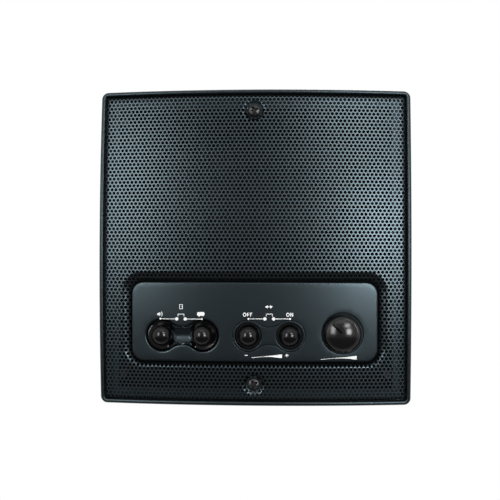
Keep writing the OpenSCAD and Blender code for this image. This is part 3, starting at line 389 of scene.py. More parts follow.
def smooth_group():
    """Node group that shades a CAD mesh smooth, but for its sharp edges."""
    tree = bpy.data.node_groups.new("smooth_by_angle", "GeometryNodeTree")
    for way in ("INPUT", "OUTPUT"):
        tree.interface.new_socket("Geometry", in_out=way, socket_type="NodeSocketGeometry")
    angle = add_node(tree, "GeometryNodeInputMeshEdgeAngle").outputs["Unsigned Angle"]
    soft = add_node(tree, "FunctionNodeCompare", {"A": angle, "B": radians(32)})
    soft.operation = "LESS_THAN"
    last = add_node(tree, "NodeGroupInput").outputs[0]
    for kind, inputs, domain in (("RemoveAttribute", {"Name": "custom_normal"}, None),
                                 ("MergeByDistance", {"Distance": 1e-6}, None),
                                 ("SetShadeSmooth", {}, "FACE"),
                                 ("SetShadeSmooth", {"Shade Smooth": soft.outputs["Result"]}, "EDGE")):
        step = add_node(tree, "GeometryNode" + kind, {"Geometry": last, **inputs})
        if domain:
            step.domain = domain
        last = step.outputs["Geometry"]
    add_node(tree, "NodeGroupOutput", {0: last})
    return tree


DRESS = {"baffle_board": "baffle",
         "zinc_steel": "panel_screws board_screws speaker_basket top_plate back_plate pot_can rocker_pin "
                       "switch_covers pot_washer",
         # The speaker screws' tips show through the grille's holes; they get the black steel as painted
         # shade, so that they read dark there.
         "black_steel": "baffle_screws speaker_screws",
         "white_nylon": "screw_retainers speaker_header",
         "black_moulding": "left_plunger right_plunger minus_plunger plus_plunger switch_bodies transistors",
         "brass": "pot_bushing pot_nut pot_shaft",
         "tin": "pot_lugs solder_tags terminal_screws",
         "board_laminate": "circuit_board",
         "terminal_green": "terminal_block",
         "gasket_board": "speaker_gasket",
         "cone_paper": "speaker_cone dust_cap",
         "former_paper": "coil_former",
         "copper_wire": "coil_winding",
         "ferrite": "magnet",
         "phenolic": "tag_strip"}
smoothing = smooth_group()
for look, names in DRESS.items():
    for name in names.split():
        nodes[name].data.materials.clear()
        nodes[name].data.materials.append(paint[look])
        nodes[name].modifiers.new("smooth", "NODES").node_group = smoothing


def make(name, shape, looks, body, replaced=None, crease=35.0):
    """Makes the piece, turns its faces outwards and hangs it on its body, where it has one.
    Its slot is the first of its looks."""
    mesh = bpy.data.meshes.new(name)
    mesh.from_pydata((np.array(shape.points) * MM).tolist(), [], shape.faces)
    work = bmesh.new()
    work.from_mesh(mesh)
    bmesh.ops.recalc_face_normals(work, faces=work.faces)
    work.to_mesh(mesh)
    work.free()
    mesh.shade_smooth()
    mesh.set_sharp_from_angle(angle=radians(crease))
    looks = looks.split()
    for look in looks:
        mesh.materials.append(paint[look])
    piece = bpy.data.objects.new(name, mesh)
    scene.collection.objects.link(piece)
    if body:
        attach(piece, body)
    if replaced:
        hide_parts(replaced)
    return piece


# Bezel frame
def build_bezel():
    shape = Shape()
    bead, ease, least_r = RIM / 2, 0.3, 0.15
    pillar_r, recess_r, recess_y, screw_head_r, screw_hole_r = 6.0, 5.2, -1.5, 2.5, 1.22

    def outer(inset):
        corner_r = max(FRAME_R - inset, least_r)
        return rect_loop(FRAME_W - 2 * inset, FRAME_H - 2 * inset, corner_r, corner=10)

    rings = [raised(outer(RIM), -FLANGE_T)]
    for a in np.linspace(pi, 0, 15):
        rings.append(on_dome(outer(bead * (1 - cos(a))), bead * (1 - sin(a))))
    shape.edge(rings + [raised(outer(0.0), -ease), raised(outer(ease), 0.0)])
    holes = [rect_loop(FRAME_W - 2 * FLANGE_W, FRAME_H - 2 * FLANGE_END, 1.0, side=6, corner=4)]
    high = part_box("baffle_screws")[1]
    screw_x, screw_z = high[0] / MM - screw_head_r, high[2] / MM - screw_head_r
    holes += [circle_loop(sx * screw_x, sz * screw_z, screw_hole_r, 20) for sx in (-1, 1) for sz in (-1, 1)]
    for hole in holes:
        shape.edge([raised(hole, -FLANGE_T), raised(hole, 0.0)])
    front = DIMPLE_Y + SHEET + TOUCH
    profile = [(pillar_r, -FLANGE_T), (pillar_r, front + 0.4), (pillar_r - 0.4, front),
               (DIMPLE_HOLE_R, front), (DIMPLE_HOLE_R, recess_y), (recess_r, recess_y), (recess_r, 0.0)]
    for z in (-FIXING_Z, FIXING_Z):
        shape.edge(turned_rings(0, z, profile, 48))
    shape.skins()
    make("bezel", shape, "frame_plastic", "station", "bezel_frame")


build_bezel()


# Perforated grille
HOLE_PITCH, HOLE_R, FIRST_HOLE_X, FIRST_HOLE_Z, CELL_POINTS = 2.778, 1.10, -1.95, 96.527, 12
DIMPLE_FLAT_R, DIMPLE_EDGE_R, MOAT_CURVE = 4.3, 7.7, 1.5
FLAT_W, FLAT_H = GRILLE_W / 2 - BEND_R, GRILLE_H / 2 - BEND_R
BEND_RUN = pi * BEND_R / 2
REACH = BEND_RUN + SKIRT


def lattice():
    """Centres of the perforation's cells on the flat sheet."""
    row_h = HOLE_PITCH * sqrt(3) / 2
    half_w, half_h = FLAT_W + REACH, FLAT_H + REACH
    centres = []
    first_row = floor((-half_h - FIRST_HOLE_Z) / row_h) - 1
    for row in range(first_row, ceil((half_h - FIRST_HOLE_Z) / row_h) + 2):
        shift = FIRST_HOLE_X + HOLE_PITCH / 2 * (row % 2)
        start = floor((-half_w - shift) / HOLE_PITCH) - 1
        stop = ceil((half_w - shift) / HOLE_PITCH) + 2
        centres += [(shift + k * HOLE_PITCH, FIRST_HOLE_Z + row * row_h) for k in range(start, stop)]
    return np.array(centres)


def sheet_place(flat):
    """Where points of the flat sheet lie on the finished grille, in front and behind, and which of
    them were drawn to an edge."""
    p = flat.copy()
    held = np.zeros(len(p), bool)
    for z in (-FIXING_Z, FIXING_Z):
        away = p - (0, z)
        far = np.linalg.norm(away, axis=1)
        near = far < DIMPLE_HOLE_R
        p[near] = (0, z) + away[near] * (DIMPLE_HOLE_R / np.maximum(far[near], 1e-6))[:, None]
        held |= near
    inner = (PANEL_W + 2 * PANEL_GAP, PANEL_H + 2 * PANEL_GAP, PANEL_R + PANEL_GAP, PANEL_Z)
    e = 1e-4
    for _ in range(3):
        d = rect_sdf(p, *inner)
        slope = [rect_sdf(p + step, *inner) - rect_sdf(p - step, *inner) for step in e * np.eye(2)]
        slope = np.column_stack(slope) / (2 * e)
        near = d < -1e-6
        held |= near
        p[near] -= slope[near] * d[near][:, None]
    core = np.clip(p, (-FLAT_W, -FLAT_H), (FLAT_W, FLAT_H))
    over = p - core
    s = np.linalg.norm(over, axis=1)
    way = over / np.maximum(s, 1e-9)[:, None]
    held |= s > REACH
    s = np.minimum(s, REACH)
    turn = np.minimum(s / BEND_R, pi / 2)
    straight = np.maximum(s - BEND_RUN, 0)

    outer = (PANEL_W + 2 * (PANEL_GAP + MOAT_SIDE), PANEL_H + 2 * PANEL_GAP + MOAT_TOP + MOAT_BOTTOM, MOAT_R,
             PANEL_Z + (MOAT_TOP - MOAT_BOTTOM) / 2)
    d_in, d_out = np.maximum(rect_sdf(p, *inner), 0), rect_sdf(p, *outer)
    share = np.where(d_out < 0, d_in / np.maximum(d_in - d_out, 1e-6), 1.0)
    moat = MOAT_DEPTH * np.power(np.clip(1 - share, 0, 1), MOAT_CURVE)

    skins = []
    for back in (0.0, SHEET):
        bend = BEND_R - back
        at = core + way * (bend * np.sin(turn))[:, None]
        drop = BEND_R - bend * np.cos(turn) + straight
        y = dome_y(at[:, 0], at[:, 1], drop + moat)
        bottom = DIMPLE_Y + back
        for z in (-FIXING_Z, FIXING_Z):
            blend = smooth_step(DIMPLE_FLAT_R, DIMPLE_EDGE_R, np.linalg.norm(at - (0, z), axis=1))
            y = np.where(blend < 1, bottom + (y - bottom) * blend, y)
        skins.append(raised(at, y))
    return skins[0], skins[1], held


def build_grille(names=("grille_low", "grille_mid", "grille_top")):
    centres = lattice()
    k = np.arange(CELL_POINTS)
    edge_r = np.where(k % 2 == 1, HOLE_PITCH / sqrt(3), HOLE_PITCH / 2)
    unit = circle_loop(0, 0, 1.0, CELL_POINTS)
    rows = np.unique(np.round(centres[:, 1], 3))
    for name, share in zip(names, np.array_split(rows, len(names))):
        chosen = centres[(centres[:, 1] > share[0] - 0.1) & (centres[:, 1] < share[-1] + 0.1)]
        rim = chosen[:, None] + unit[None] * edge_r[None, :, None]
        hole = chosen[:, None] + unit[None] * HOLE_R
        flat = np.concatenate([rim, hole]).reshape(-1, 2)
        key = np.round(flat * 2000).astype(np.int64)
        _, first, same = np.unique(key, axis=0, return_index=True, return_inverse=True)
        rim_id, hole_id = same.reshape(2, -1, CELL_POINTS)
        quads = [rim_id, np.roll(rim_id, -1, axis=1), np.roll(hole_id, -1, axis=1), hole_id]
        quads = np.stack(quads, axis=2).reshape(-1, 4)
        front, back, held = sheet_place(flat[first])
        quads = quads[~held[quads].all(axis=1)]
        a, b, c, d = front[quads.T]
        quads = quads[0.5 * np.linalg.norm(np.cross(c - a, d - b), axis=1) > 1e-4]
        edges = np.concatenate([quads[:, [i, (i + 1) % 4]] for i in range(4)])
        _, where, times = np.unique(np.sort(edges, axis=1), axis=0, return_index=True, return_counts=True)
        p, q = edges[where[times == 1]].T
        total = len(front)
        walls = np.column_stack([q, p, p + total, q + total])
        faces = np.concatenate([quads, quads[:, ::-1] + total, walls])
        used, renumbered = np.unique(faces, return_inverse=True)
        shape = Shape()
        shape.points = np.concatenate([front, back])[used]
        shape.faces = renumbered.reshape(faces.shape).tolist()
        piece = make(name, shape, "grille_paint hole_edge", "station", "grille", crease=50)
        # The hole walls take the second look, a painted shade darker than the sheet's paint.
        parts = np.zeros(len(faces), np.int32)
        parts[-len(walls):] = 1
        piece.data.polygons.foreach_set("material_index", parts)


build_grille()


# Control panel
POCKET_EDGE = POCKET_R / sqrt(2)
POCKET_SINK, KNOB_LIFT = 0.5, 0.5
POCKET_FLOOR = float(dome_y(KNOB_X + POCKET_EDGE, KNOB_Z - POCKET_EDGE, PANEL_DROP)) + POCKET_SINK
KNOB_BASE = POCKET_FLOOR - KNOB_LIFT
KNOB_TOP = KNOB_BASE - KNOB_H
PANEL_BACK = PANEL_DROP + PANEL_T
BOARD_W, BOARD_H, POST_R = 150, 38, 2.4
BOARD_POST_X, BOARD_POST_Z = BOARD_W / 2 - 4.5, BOARD_H / 2 - 3.5
BOARD_POSTS = [(-BOARD_POST_X, PANEL_Z + BOARD_POST_Z), (BOARD_POST_X, PANEL_Z + BOARD_POST_Z),
               ((ROCKER_X + BUTTONS_X) / 2 - 1.2, PANEL_Z - BOARD_POST_Z),
               ((BUTTONS_X + BALL_X + KNOB_X) / 2 - 1.5, PANEL_Z - BOARD_POST_Z)]
PANEL_POST_X, PANEL_POST_Z = 48.1, PANEL_H / 2 - PANEL_WALL - POST_R + 0.6
PANEL_POSTS = [(sx * PANEL_POST_X, PANEL_Z + sz * PANEL_POST_Z) for sx in (-1, 1) for sz in (-1, 1)]
POST_BORE_R = 1.22


def rolled_edge(loop_at, depth, radius, steps=6):
    """Rings of a rounded edge; loop_at(g) is the edge's outline grown by g."""
    turns = np.linspace(0, pi / 2, steps + 1)
    return [on_dome(loop_at(radius * (1 - sin(a))), depth + radius * (1 - cos(a))) for a in turns]


def build_panel():
    shape = Shape()
    edge_r, pocket_edge_r, boss_r, sink, ear_half, ear_t, ear_gap = 1.0, 0.6, 15.5, 0.6, 3, 2.5, 0.2

    def outer(inset):
        w, h = PANEL_W - 2 * inset, PANEL_H - 2 * inset
        return rect_loop(w, h, PANEL_R - inset, PANEL_Z, side=44, corner=14)

    def pocket(grow):
        return circle_loop(KNOB_X, KNOB_Z, POCKET_R + grow)

    shape.edge(rolled_edge(outer, PANEL_DROP, edge_r, 8)
               + [raised(outer(0), BAFFLE_FRONT), raised(outer(PANEL_WALL), BAFFLE_FRONT),
                  on_dome(outer(PANEL_WALL), PANEL_BACK)])
    for x, lip in ((ROCKER_X, 1.5), (BUTTONS_X, 0.35)):
        rings = rolled_edge(lambda grow: dumbbell_loop(x, grow), PANEL_DROP, lip, 8)
        shape.edge(rings + [on_dome(dumbbell_loop(x, 0), PANEL_BACK)])
    behind = POCKET_FLOOR + POCKET_T
    profile = ((POCKET_R, POCKET_FLOOR), (BUSHING_R, POCKET_FLOOR), (BUSHING_R, behind), (boss_r, behind))
    shape.edge(rolled_edge(pocket, PANEL_DROP, pocket_edge_r) + turned_rings(KNOB_X, KNOB_Z, profile)
               + [on_dome(pocket(boss_r - POCKET_R), PANEL_BACK)])
    shape.skins(face_of(PANEL_DROP), face_of(PANEL_BACK), 3.0, 8.0)
    post_rows = ((BOARD_POSTS, 2.8, -9.62, -14.6), (PANEL_POSTS, POST_R, BAFFLE_FRONT, -13.5))
    for posts, r, seat, end in post_rows:
        for x, z in posts:
            y = float(dome_y(x, z, PANEL_BACK)) - sink
            profile = [(0, y), (r, y), (r, seat), (POST_BORE_R, seat), (POST_BORE_R, end), (0, end)]
            shape.turned(x, z, profile, 24)
    for s in (-1, 1):
        z = KEYS_Z + s * (WAIST + ear_gap + ear_t / 2)
        y = float(dome_y(ROCKER_X, z, PANEL_BACK)) - 0.2
        shape.block((ROCKER_X - ear_half, y, z - ear_t / 2),
                    (ROCKER_X + ear_half, PIN_Y + PIN_R + 1.3, z + ear_t / 2))
    make("panel", shape, "panel_plastic", "station", "control_panel", crease=40)


build_panel()
GUARD_BACK = PANEL_BACK + TOUCH


def build_guard():
    shape = Shape()
    behind, edge_r, hole_edge_r = GUARD_BACK + GUARD_FLANGE, 0.4, 0.5

    def outline(grow):
        return dumbbell_loop(BUTTONS_X, grow - GUARD_CLEAR)

    shape.edge(rolled_edge(lambda grow: outline(-grow), PANEL_DROP, edge_r)
               + [on_dome(outline(0), GUARD_BACK), on_dome(outline(GUARD_LIP), GUARD_BACK),
                  on_dome(outline(GUARD_LIP), behind)])
    for x in (BUTTONS_X - BALL_X, BUTTONS_X + BALL_X):
        def hole(grow):
            return circle_loop(x, KEYS_Z, GUARD_HOLE_R + grow, 80)
        shape.edge(rolled_edge(hole, PANEL_DROP, hole_edge_r) + [on_dome(hole(0), behind)])
    shape.skins(face_of(PANEL_DROP), face_of(behind), 1.6, 3.0)
    make("guard", shape, "guard_plastic", "station", "button_guard", crease=40)


build_guard()


# Rocker, buttons and knob
def ball_profile(x, back, steps=26):
    """Half profile of a ball head, from its front to the plane behind it."""
    middle = float(dome_y(x, KEYS_Z, PANEL_DROP + BALL_SINK))
    stop = acos(-(back - middle) / BALL_R)
    return [(BALL_R * sin(a), middle - BALL_R * cos(a)) for a in np.linspace(0, stop, steps + 1)]


def build_rocker():
    shape = Shape()
    balls = (ROCKER_X - BALL_X, ROCKER_X + BALL_X)
    half, dip, side_depth, bowl_depth = WAIST - ROCKER_CLEAR, 3.2, 2.2, 2.6
    trough_r = (half ** 2 + dip ** 2) / (2 * dip)
    back, rim_inset, edge_drop, saddle_half = ROCKER_BACK - 0.4, 0.3, 0.25, 6.4
    saddle_end, side_start, bowl_r, bowl_edge_r = 5.0, 9.5, 7.6, 9.4

    def lift(x, z):
        far = np.minimum(*(np.hypot(x - ball, z - KEYS_Z) for ball in balls))
        across = np.clip(z - KEYS_Z, -half, half)
        saddle = np.sqrt(trough_r ** 2 - np.square(across)) - (trough_r - dip)
        side = smooth_step(saddle_end, side_start, np.abs(x - ROCKER_X))
        bowl = 1 - smooth_step(bowl_r, bowl_edge_r, far)
        depth = (saddle * (1 - side) + side_depth * side) * (1 - bowl) + bowl_depth * bowl
        return np.minimum(dome_y(x, z, ROCKER_DEPTH) + depth, back)

    rim, edge = (dumbbell_loop(ROCKER_X, -ROCKER_CLEAR - inset) for inset in (rim_inset, 0))
    below = np.minimum(lift(*edge.T) + edge_drop, ROCKER_BACK - 0.2)
    shape.edge([raised(rim, lift(*rim.T)), raised(edge, below), raised(edge, ROCKER_BACK)])
    shape.skins(lift, None, 0.75)
    tip, foot_r, root_r, root = PLUNGER_TOP - 0.05, 2.0, 1.8, ROCKER_BACK - 0.3
    turns = np.radians(np.arange(80, -1, -10))
    foot = [(foot_r * sin(a), tip - foot_r * (1 - cos(a))) for a in turns]
    for x in balls:
        shape.turned(x, KEYS_Z, ball_profile(x, back) + [(0, back)])
        shape.turned(x, KEYS_Z, [(0, root), (root_r, root)] + foot, 24)
    hub_r, bore_r, length = PIN_R + 0.7, PIN_R + 0.04, WAIST - 0.2
    rings = []
    for r, s in ((hub_r, -1), (hub_r, 1), (bore_r, 1), (bore_r, -1)):
        ring = circle_loop(ROCKER_X, PIN_Y, r, 32)
        rings.append(np.column_stack([ring, np.full(len(ring), KEYS_Z + s * length)]))
    shape.chain(rings, closed=True)
    piece = make("rocker", shape, "key_plastic guard_plastic", "rocker", "door_rocker", crease=40)
    for face in piece.data.polygons:
        face.material_index = int(abs(face.center.x / MM - ROCKER_X) < saddle_half)


build_rocker()


def build_button(name, x, body, node):
    wide, ease, thick, stem_r = GUARD_HOLE_R + 0.7, 0.25, 1.4, 2.0
    lowest = dome_y(abs(BUTTONS_X) + BALL_X + wide, KEYS_Z - wide, GUARD_BACK + GUARD_FLANGE)
    flange = float(lowest) + 0.2
    shape = Shape()
    profile = ball_profile(x, flange)
    profile += [(wide - ease, flange), (wide, flange + ease), (wide, flange + thick - ease),
                (wide - ease, flange + thick), (stem_r, flange + thick), (stem_r, PLUNGER_TOP - 0.2),
                (stem_r - 0.2, PLUNGER_TOP), (0, PLUNGER_TOP)]
    shape.turned(x, KEYS_Z, profile, 72)
    make(name, shape, "key_plastic", body, node, crease=40)


build_button("button_minus", BUTTONS_X - BALL_X, "minus_key", "minus_button")
build_button("button_plus", BUTTONS_X + BALL_X, "plus_key", "plus_button")


def build_knob():
    """Domed knob with a pointer line cut into it and a fine ring round its crown."""
    shape = Shape()
    bevel, ease, bore_r = 0.4, 0.05, 7.2
    base = KNOB_R - bevel
    dome_r, ring_r, crown_r = 20.0, 9.9, 9.1
    groove_depth, groove_w, step_depth, step_half = 0.10, 0.16, 0.07, 0.1
    flat = sqrt(dome_r ** 2 - ring_r ** 2)
    fall = dome_r - flat
    t = np.linspace(0, 1, 40)
    shoulder_r = curve(ring_r, base, base, t)
    shoulder_y = curve(fall, fall + (base - ring_r) * ring_r / flat, KNOB_H - KNOB_SKIRT, t)

    def height(r):
        groove = groove_depth * np.exp(-np.square((r - ring_r) / groove_w))
        step = step_depth * smooth_step(ring_r - step_half, ring_r + step_half, r)
        crown = dome_r - np.sqrt(np.maximum(dome_r ** 2 - r * r, 0))
        return KNOB_TOP + np.where(r < ring_r, crown, np.interp(r, shoulder_r, shoulder_y)) + groove + step

    pointer = radians(45)
    way = np.array([-sin(pointer), cos(pointer)])
    side = np.array([way[1], -way[0]])
    half, depth, inner_end, outer_end, count = 0.8, 0.8, 1.2, crown_r - 0.25, 14
    stations = np.linspace(inner_end, outer_end, count)
    centre = np.array([KNOB_X, KNOB_Z])
    line = [centre + way * s + side * shift for shift in (-half, 0.0, half) for s in stations]
    line_edges = [(lane + k - 1, lane + k) for lane in (0, count, 2 * count) for k in range(1, count)]
    line_edges += [(lane + k, lane + count + k) for lane in (0, count) for k in (0, count - 1)]

    def lift(x, z):
        place = np.column_stack([x, z]) - centre
        along, off = place @ way, place @ side
        cut = np.clip(1 - np.abs(off) / half, 0, 1)
        cut = np.where((along > inner_end - 1e-4) & (along < outer_end + 1e-4), cut, 0)
        return height(np.linalg.norm(place, axis=1)) + depth * cut

    fine, coarse = np.linspace(ring_r - 0.5, ring_r + 0.5, 14), np.linspace(0.25, 0.9, 14)
    radii = [crown_r, *fine, *np.interp(coarse, t, shoulder_r)]
    profile = [(r, float(height(r))) for r in radii]
    for share in np.linspace(0.2, 1, 5):
        a, inset = pi / 2 * share, ease * (1 - share)
        profile.append((base + bevel * sin(a) - inset,
                        KNOB_BASE - KNOB_SKIRT + bevel * (1 - cos(a)) - inset))
    washer_t, nut_t, bushing_over, nut_room, shaft_cover, shaft_gap, foot = 0.5, 2.0, 0.6, 0.5, 2.2, 0.3, 0.2
    recess = POCKET_FLOOR - washer_t - nut_t - bushing_over - nut_room
    shaft_end = KNOB_TOP + shaft_cover - shaft_gap
    low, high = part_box("pot_shaft")
    shaft_r = (high[0] - low[0]) / 2 / MM + TOUCH
    profile += [(KNOB_R, KNOB_BASE - foot), (KNOB_R - foot, KNOB_BASE), (bore_r, KNOB_BASE),
                (bore_r, recess), (shaft_r, recess), (shaft_r, shaft_end)]
    first, last = shape.chain(turned_rings(KNOB_X, KNOB_Z, profile))
    shape.fill([first], lift, 0.8, line, line_edges)
    shape.cap(last, (KNOB_X, shaft_end, KNOB_Z))
    make("knob", shape, "knob_plastic", "volume", "volume_knob", crease=28)


build_knob()


# Fixing screws
def cross_loop(z, width, reach, turn):
    """Outline of a cross recess with blunt arms, turned by an angle."""
    points = []
    for a in np.radians(turn + 90 * np.arange(4)):
        way, side = np.array([cos(a), sin(a)]), np.array([-sin(a), cos(a)])
        points += [way * reach - side * width, way * (reach + width * 0.4), way * reach + side * width,
                   (way + side) * width * 1.25]
    return np.array(points) + (0, z)


def build_fixing_screws():
    """Pan heads with cross recesses, plain necks and pointed threads."""
    shape = Shape()
    seat = DIMPLE_Y
    front = seat - HEAD_H
    ball_r, crown_r, edge_y, ease, around = 2 * HEAD_R, 3.3, 1.9, 0.12, 48
    pitch, root_r, crest_share, steps = 1.3, 1.52, 0.3, 8

    def crown(x, z):
        far = np.minimum(np.hypot(x, np.abs(z) - FIXING_Z), ball_r)
        return front + ball_r - np.sqrt(ball_r ** 2 - far ** 2)

    a = spokes(around)
    crown_y = float(crown(crown_r, FIXING_Z))
    slope = crown_r / sqrt(ball_r ** 2 - crown_r ** 2)
    control_y = crown_y + slope * (HEAD_R - crown_r)
    profile = [(curve(crown_r, HEAD_R, HEAD_R, t), curve(crown_y, control_y, front + edge_y, t))
               for t in np.linspace(0, 1, 8)]
    profile += [(HEAD_R, seat - ease), (HEAD_R - ease, seat), (NECK_R, seat), (NECK_R, THREAD_FROM - 0.5)]
    for y in np.arange(THREAD_FROM, SCREW_END, pitch / steps):
        wave = np.mod(y / pitch - a / (2 * pi), 1.0)
        crest = np.clip(1 - np.abs(wave - 0.5) / crest_share, 0, 1)
        crest = crest * smooth_step(THREAD_FROM, THREAD_FROM + pitch, y)
        point = np.clip((y - THREAD_TO) / (SCREW_END - THREAD_TO), 0, 1)
        r = (root_r + (SCREW_R - root_r) * crest) * (1 - (1 - SCREW_TIP_R / SCREW_R) * point)
        profile.append((r, y))
    for z, turn in ((FIXING_Z, 25), (-FIXING_Z, 35)):
        head, tip = shape.chain(turned_rings(0, z, profile, around))
        shape.cap(tip, (0, SCREW_END, z))
        top, low = cross_loop(z, 0.74, 2.75, turn), cross_loop(z, 0.40, 1.3, turn)
        mouth, bottom = shape.chain([raised(top, crown(*top.T)), raised(low, front + 1.75)])
        shape.fill([head, mouth], crown, 0.5)
        shape.fill([bottom])
    make("fixings", shape, "black_steel", "station", "fixing_screws", crease=38)


build_fixing_screws()


# Soft parts and leads of the loudspeaker
def oval_loop(r, ends=48, run=24):
    """Two half circles joined by straight runs, round the loudspeaker's middle."""
    end = arc(OVAL_STRAIGHT / 2, 0, r, np.linspace(-pi / 2, pi / 2, ends + 1))
    side = [(OVAL_STRAIGHT * (0.5 - k / run), r) for k in range(1, run)]
    return both_ends(end, side) + (0, SPEAKER_Z)


def soft_ring(name, look, node, rings, crease=35.0):
    """Makes a soft ring from its rings of points, joined round and closed, with no body, and bakes its place
    into its points."""
    shape = Shape()
    shape.chain(rings, closed=True)
    piece = make(name, shape, look, None, node, crease=crease)
    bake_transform(piece)


def build_surround():
    """Half roll of treated cloth with a flat lip under the gasket and a narrow one on the cone's rim."""
    inner_r = SURROUND_R - SURROUND_T
    meet, lift = asin(SURROUND_T / SURROUND_R), asin(TOUCH / inner_r)
    lip_r = SURROUND_MID + SURROUND_R - SURROUND_T / 2 + SURROUND_LIP
    rim_r = SURROUND_MID - SURROUND_R - 0.5
    roll = arc(SURROUND_MID, 0, SURROUND_R, np.linspace(meet, pi - meet, 22))
    hollow = arc(SURROUND_MID, 0, inner_r, np.linspace(pi - lift, 0, 22))
    profile = [(lip_r, 0), (lip_r, SURROUND_T), *roll, (rim_r, SURROUND_T), (rim_r, TOUCH), *hollow]
    rings = [raised(oval_loop(r), GASKET_BACK - rise) for r, rise in profile]
    shares = [smooth_step(0, 1, (SURROUND_MID + SURROUND_R - r) / (2 * SURROUND_R)) for r, _ in profile]
    soft_ring("surround", "surround_cloth", "cone_surround", rings)


def build_spider():
    """Corrugated cloth disc that centres the voice coil."""
    line = [(SPIDER_IN, 0.0), ((SPIDER_IN + WAVE_FROM) / 2, 0.0)]
    for t in np.linspace(0, 1, 16 * SPIDER_WAVES + 1):
        line.append((WAVE_FROM + (WAVE_TO - WAVE_FROM) * t,
                     SPIDER_WAVE_H * sin(2 * pi * SPIDER_WAVES * t)))
    line += [(WAVE_TO + 1.0, 0.0), (SPIDER_OUT - 0.3, 0.0), (SPIDER_OUT, 0.0)]
    profile = [(r, SPIDER_Y - rise) for r, rise in line]
    profile += [(r, y - SPIDER_T) for r, y in reversed(profile)]
    shares = [1 - smooth_step(WAVE_FROM, WAVE_TO, r) for r, _ in profile]
    rings = turned_rings(0, SPEAKER_Z, profile)
    soft_ring("spider_disc", "spider_cloth", "spider", rings, crease=60)


build_surround()
build_spider()


def spline(points, steps):
    """Smooth line through given points."""
    p = np.array([points[0], *points, points[-1]], float)
    line = []
    for i in range(1, len(p) - 2):
        a, b, c, d = p[i - 1:i + 3]
        for t in np.arange(steps) / steps:
            line.append(0.5 * (2 * b + (c - a) * t + (2 * a - 5 * b + 4 * c - d) * t ** 2
                               + (3 * b - a - 3 * c + d) * t ** 3))
    return np.array(line + [p[-1]])


LEAD_R, LEAD_SIDES, LEAD_PITCH = 0.75, 14, 1.2
HEADER_X, HEADER_Y, HEADER_Z, TAG_X, TAG_Y, TAG_Z = 14.0, -2.8, -37.0, 6.0, 9.5, -1.8
RED_WAY = [(0, 0, 0), (0, 0.4, 0), (0.12, 0.72, 0.18), (0.56, 0.92, 0.5), (0.93, 1, 0.77), (1, 1, 1)]
BLACK_WAY = [(0, 0, 0), (0, 0.48, 0), (0.1, 0.92, 0.18), (0.48, 1.16, 0.42), (0.86, 1.2, 0.65),
             (1, 1.08, 0.83), (1, 1, 1)]


def build_lead(name, side, way, look, node):
    """Insulated lead from the board's header to a solder tag of the loudspeaker."""
    start = np.array([HEADER_X - side * LEAD_PITCH, HEADER_Y, HEADER_Z])
    end = np.array([side * TAG_X, TAG_Y, TAG_Z])
    line = spline([start + (end - start) * w for w in np.array(way, float)], 12)
    a = spokes(LEAD_SIDES)[:, None]
    rings = []
    for at, ahead in zip(line, np.gradient(line, axis=0)):
        u = np.cross(ahead, (1, 0, 0))
        u /= np.linalg.norm(u)
        v = np.cross(ahead, u)
        v /= np.linalg.norm(v)
        rings.append(at + LEAD_R * (np.cos(a) * u + np.sin(a) * v))
    shape = Shape()
    shape.chain([line[:1], *rings, line[-1:]])
    make(name, shape, look, "station", node)


build_lead("lead_red", 1, RED_WAY, "red_insulation", "speaker_lead_red")
build_lead("lead_black", -1, BLACK_WAY, "black_insulation", "speaker_lead_black")


# Printed marks
def bar(x0, z0, x1, z1, width, round_ends=False):
    half = np.array([x1 - x0, z1 - z0]) / 2
    turn = atan2(half[1], half[0]) + np.linspace(-pi / 2, pi / 2, 9 if round_ends else 2)
    end = arc(*half, width / 2, turn)
    return both_ends(end) + ((x0 + x1) / 2, (z0 + z1) / 2)


RING = circle_loop(0, 0, 1.0, 28)
LETTERS = {"O": [RING * (.45, .52) + (.45, .5), RING * (.255, .325) + (.45, .5)],
           "F": [[(0, 0), (.2, 0), (.2, .4), (.5, .4), (.5, .58), (.2, .58), (.2, .82), (.58, .82), (.58, 1),
                  (0, 1)]],
           "N": [[(0, 0), (.19, 0), (.19, .66), (.55, 0), (.76, 0), (.76, 1), (.57, 1), (.57, .34), (.21, 1),
                  (0, 1)]]}
WORDS = (("O", -7.1), ("F", -4.35), ("F", -2.35), ("O", 21.6), ("N", 24.25))
LETTER_Z, LETTER_H = -46.1, 2.55
BRACKETS = ((-48.65, -48.0, 14.05), (10.4, -47.6, 13.8))
BRACKET = [(-2.2, 1.6), (-2.2, 3.4), (2.2, 3.4), (2.2, 1.6), (1.85, 1.6), (1.85, 3.05), (-1.85, 3.05),
           (-1.85, 1.6)]
HORN = [(-1.5, -.55), (-.75, -.55), (.35, -1.35), (.35, 1.35), (-.75, .55), (-1.5, .55)]
TAIL = [(-1.3, -.98), (-.2, -.98), (-1.5, -1.75)]
ARROW = np.array([(.7, -1.15), (2.6, 0), (.7, 1.15)])
PLUS = [(-.27, -1.05), (.27, -1.05), (.27, -.27), (1.05, -.27), (1.05, .27), (.27, .27), (.27, 1.05),
        (-.27, 1.05), (-.27, .27), (-1.05, .27), (-1.05, -.27), (-.27, -.27)]
WEDGES = ((-1.6, -73.6, 20.4, 2.3), (44.5, -74.7, 24.0, 2.4))
HORN_AT, BALLOON_AT, DOOR_AT, ARROW_AT = (-63.4, -44.9), (-35.3, -44.8), (-48.6, -39.8), (10.2, -39.6)
MINUS_AT, PLUS_AT = (-4.9, -71.9), (22.1, -71.9)
LINE_W, LINE_FROM, LINE_SHORT, END_DOT_R, KEY_DOT_X, KEY_DOT_R = 0.42, 3.9, 0.4, 0.62, 2.9, 1.1
WAVE_W, SIGN_LINE_W, MINUS_W, WEDGE_LOW, MARK_HALF = 0.36, 0.45, 0.55, 0.25, 0.03


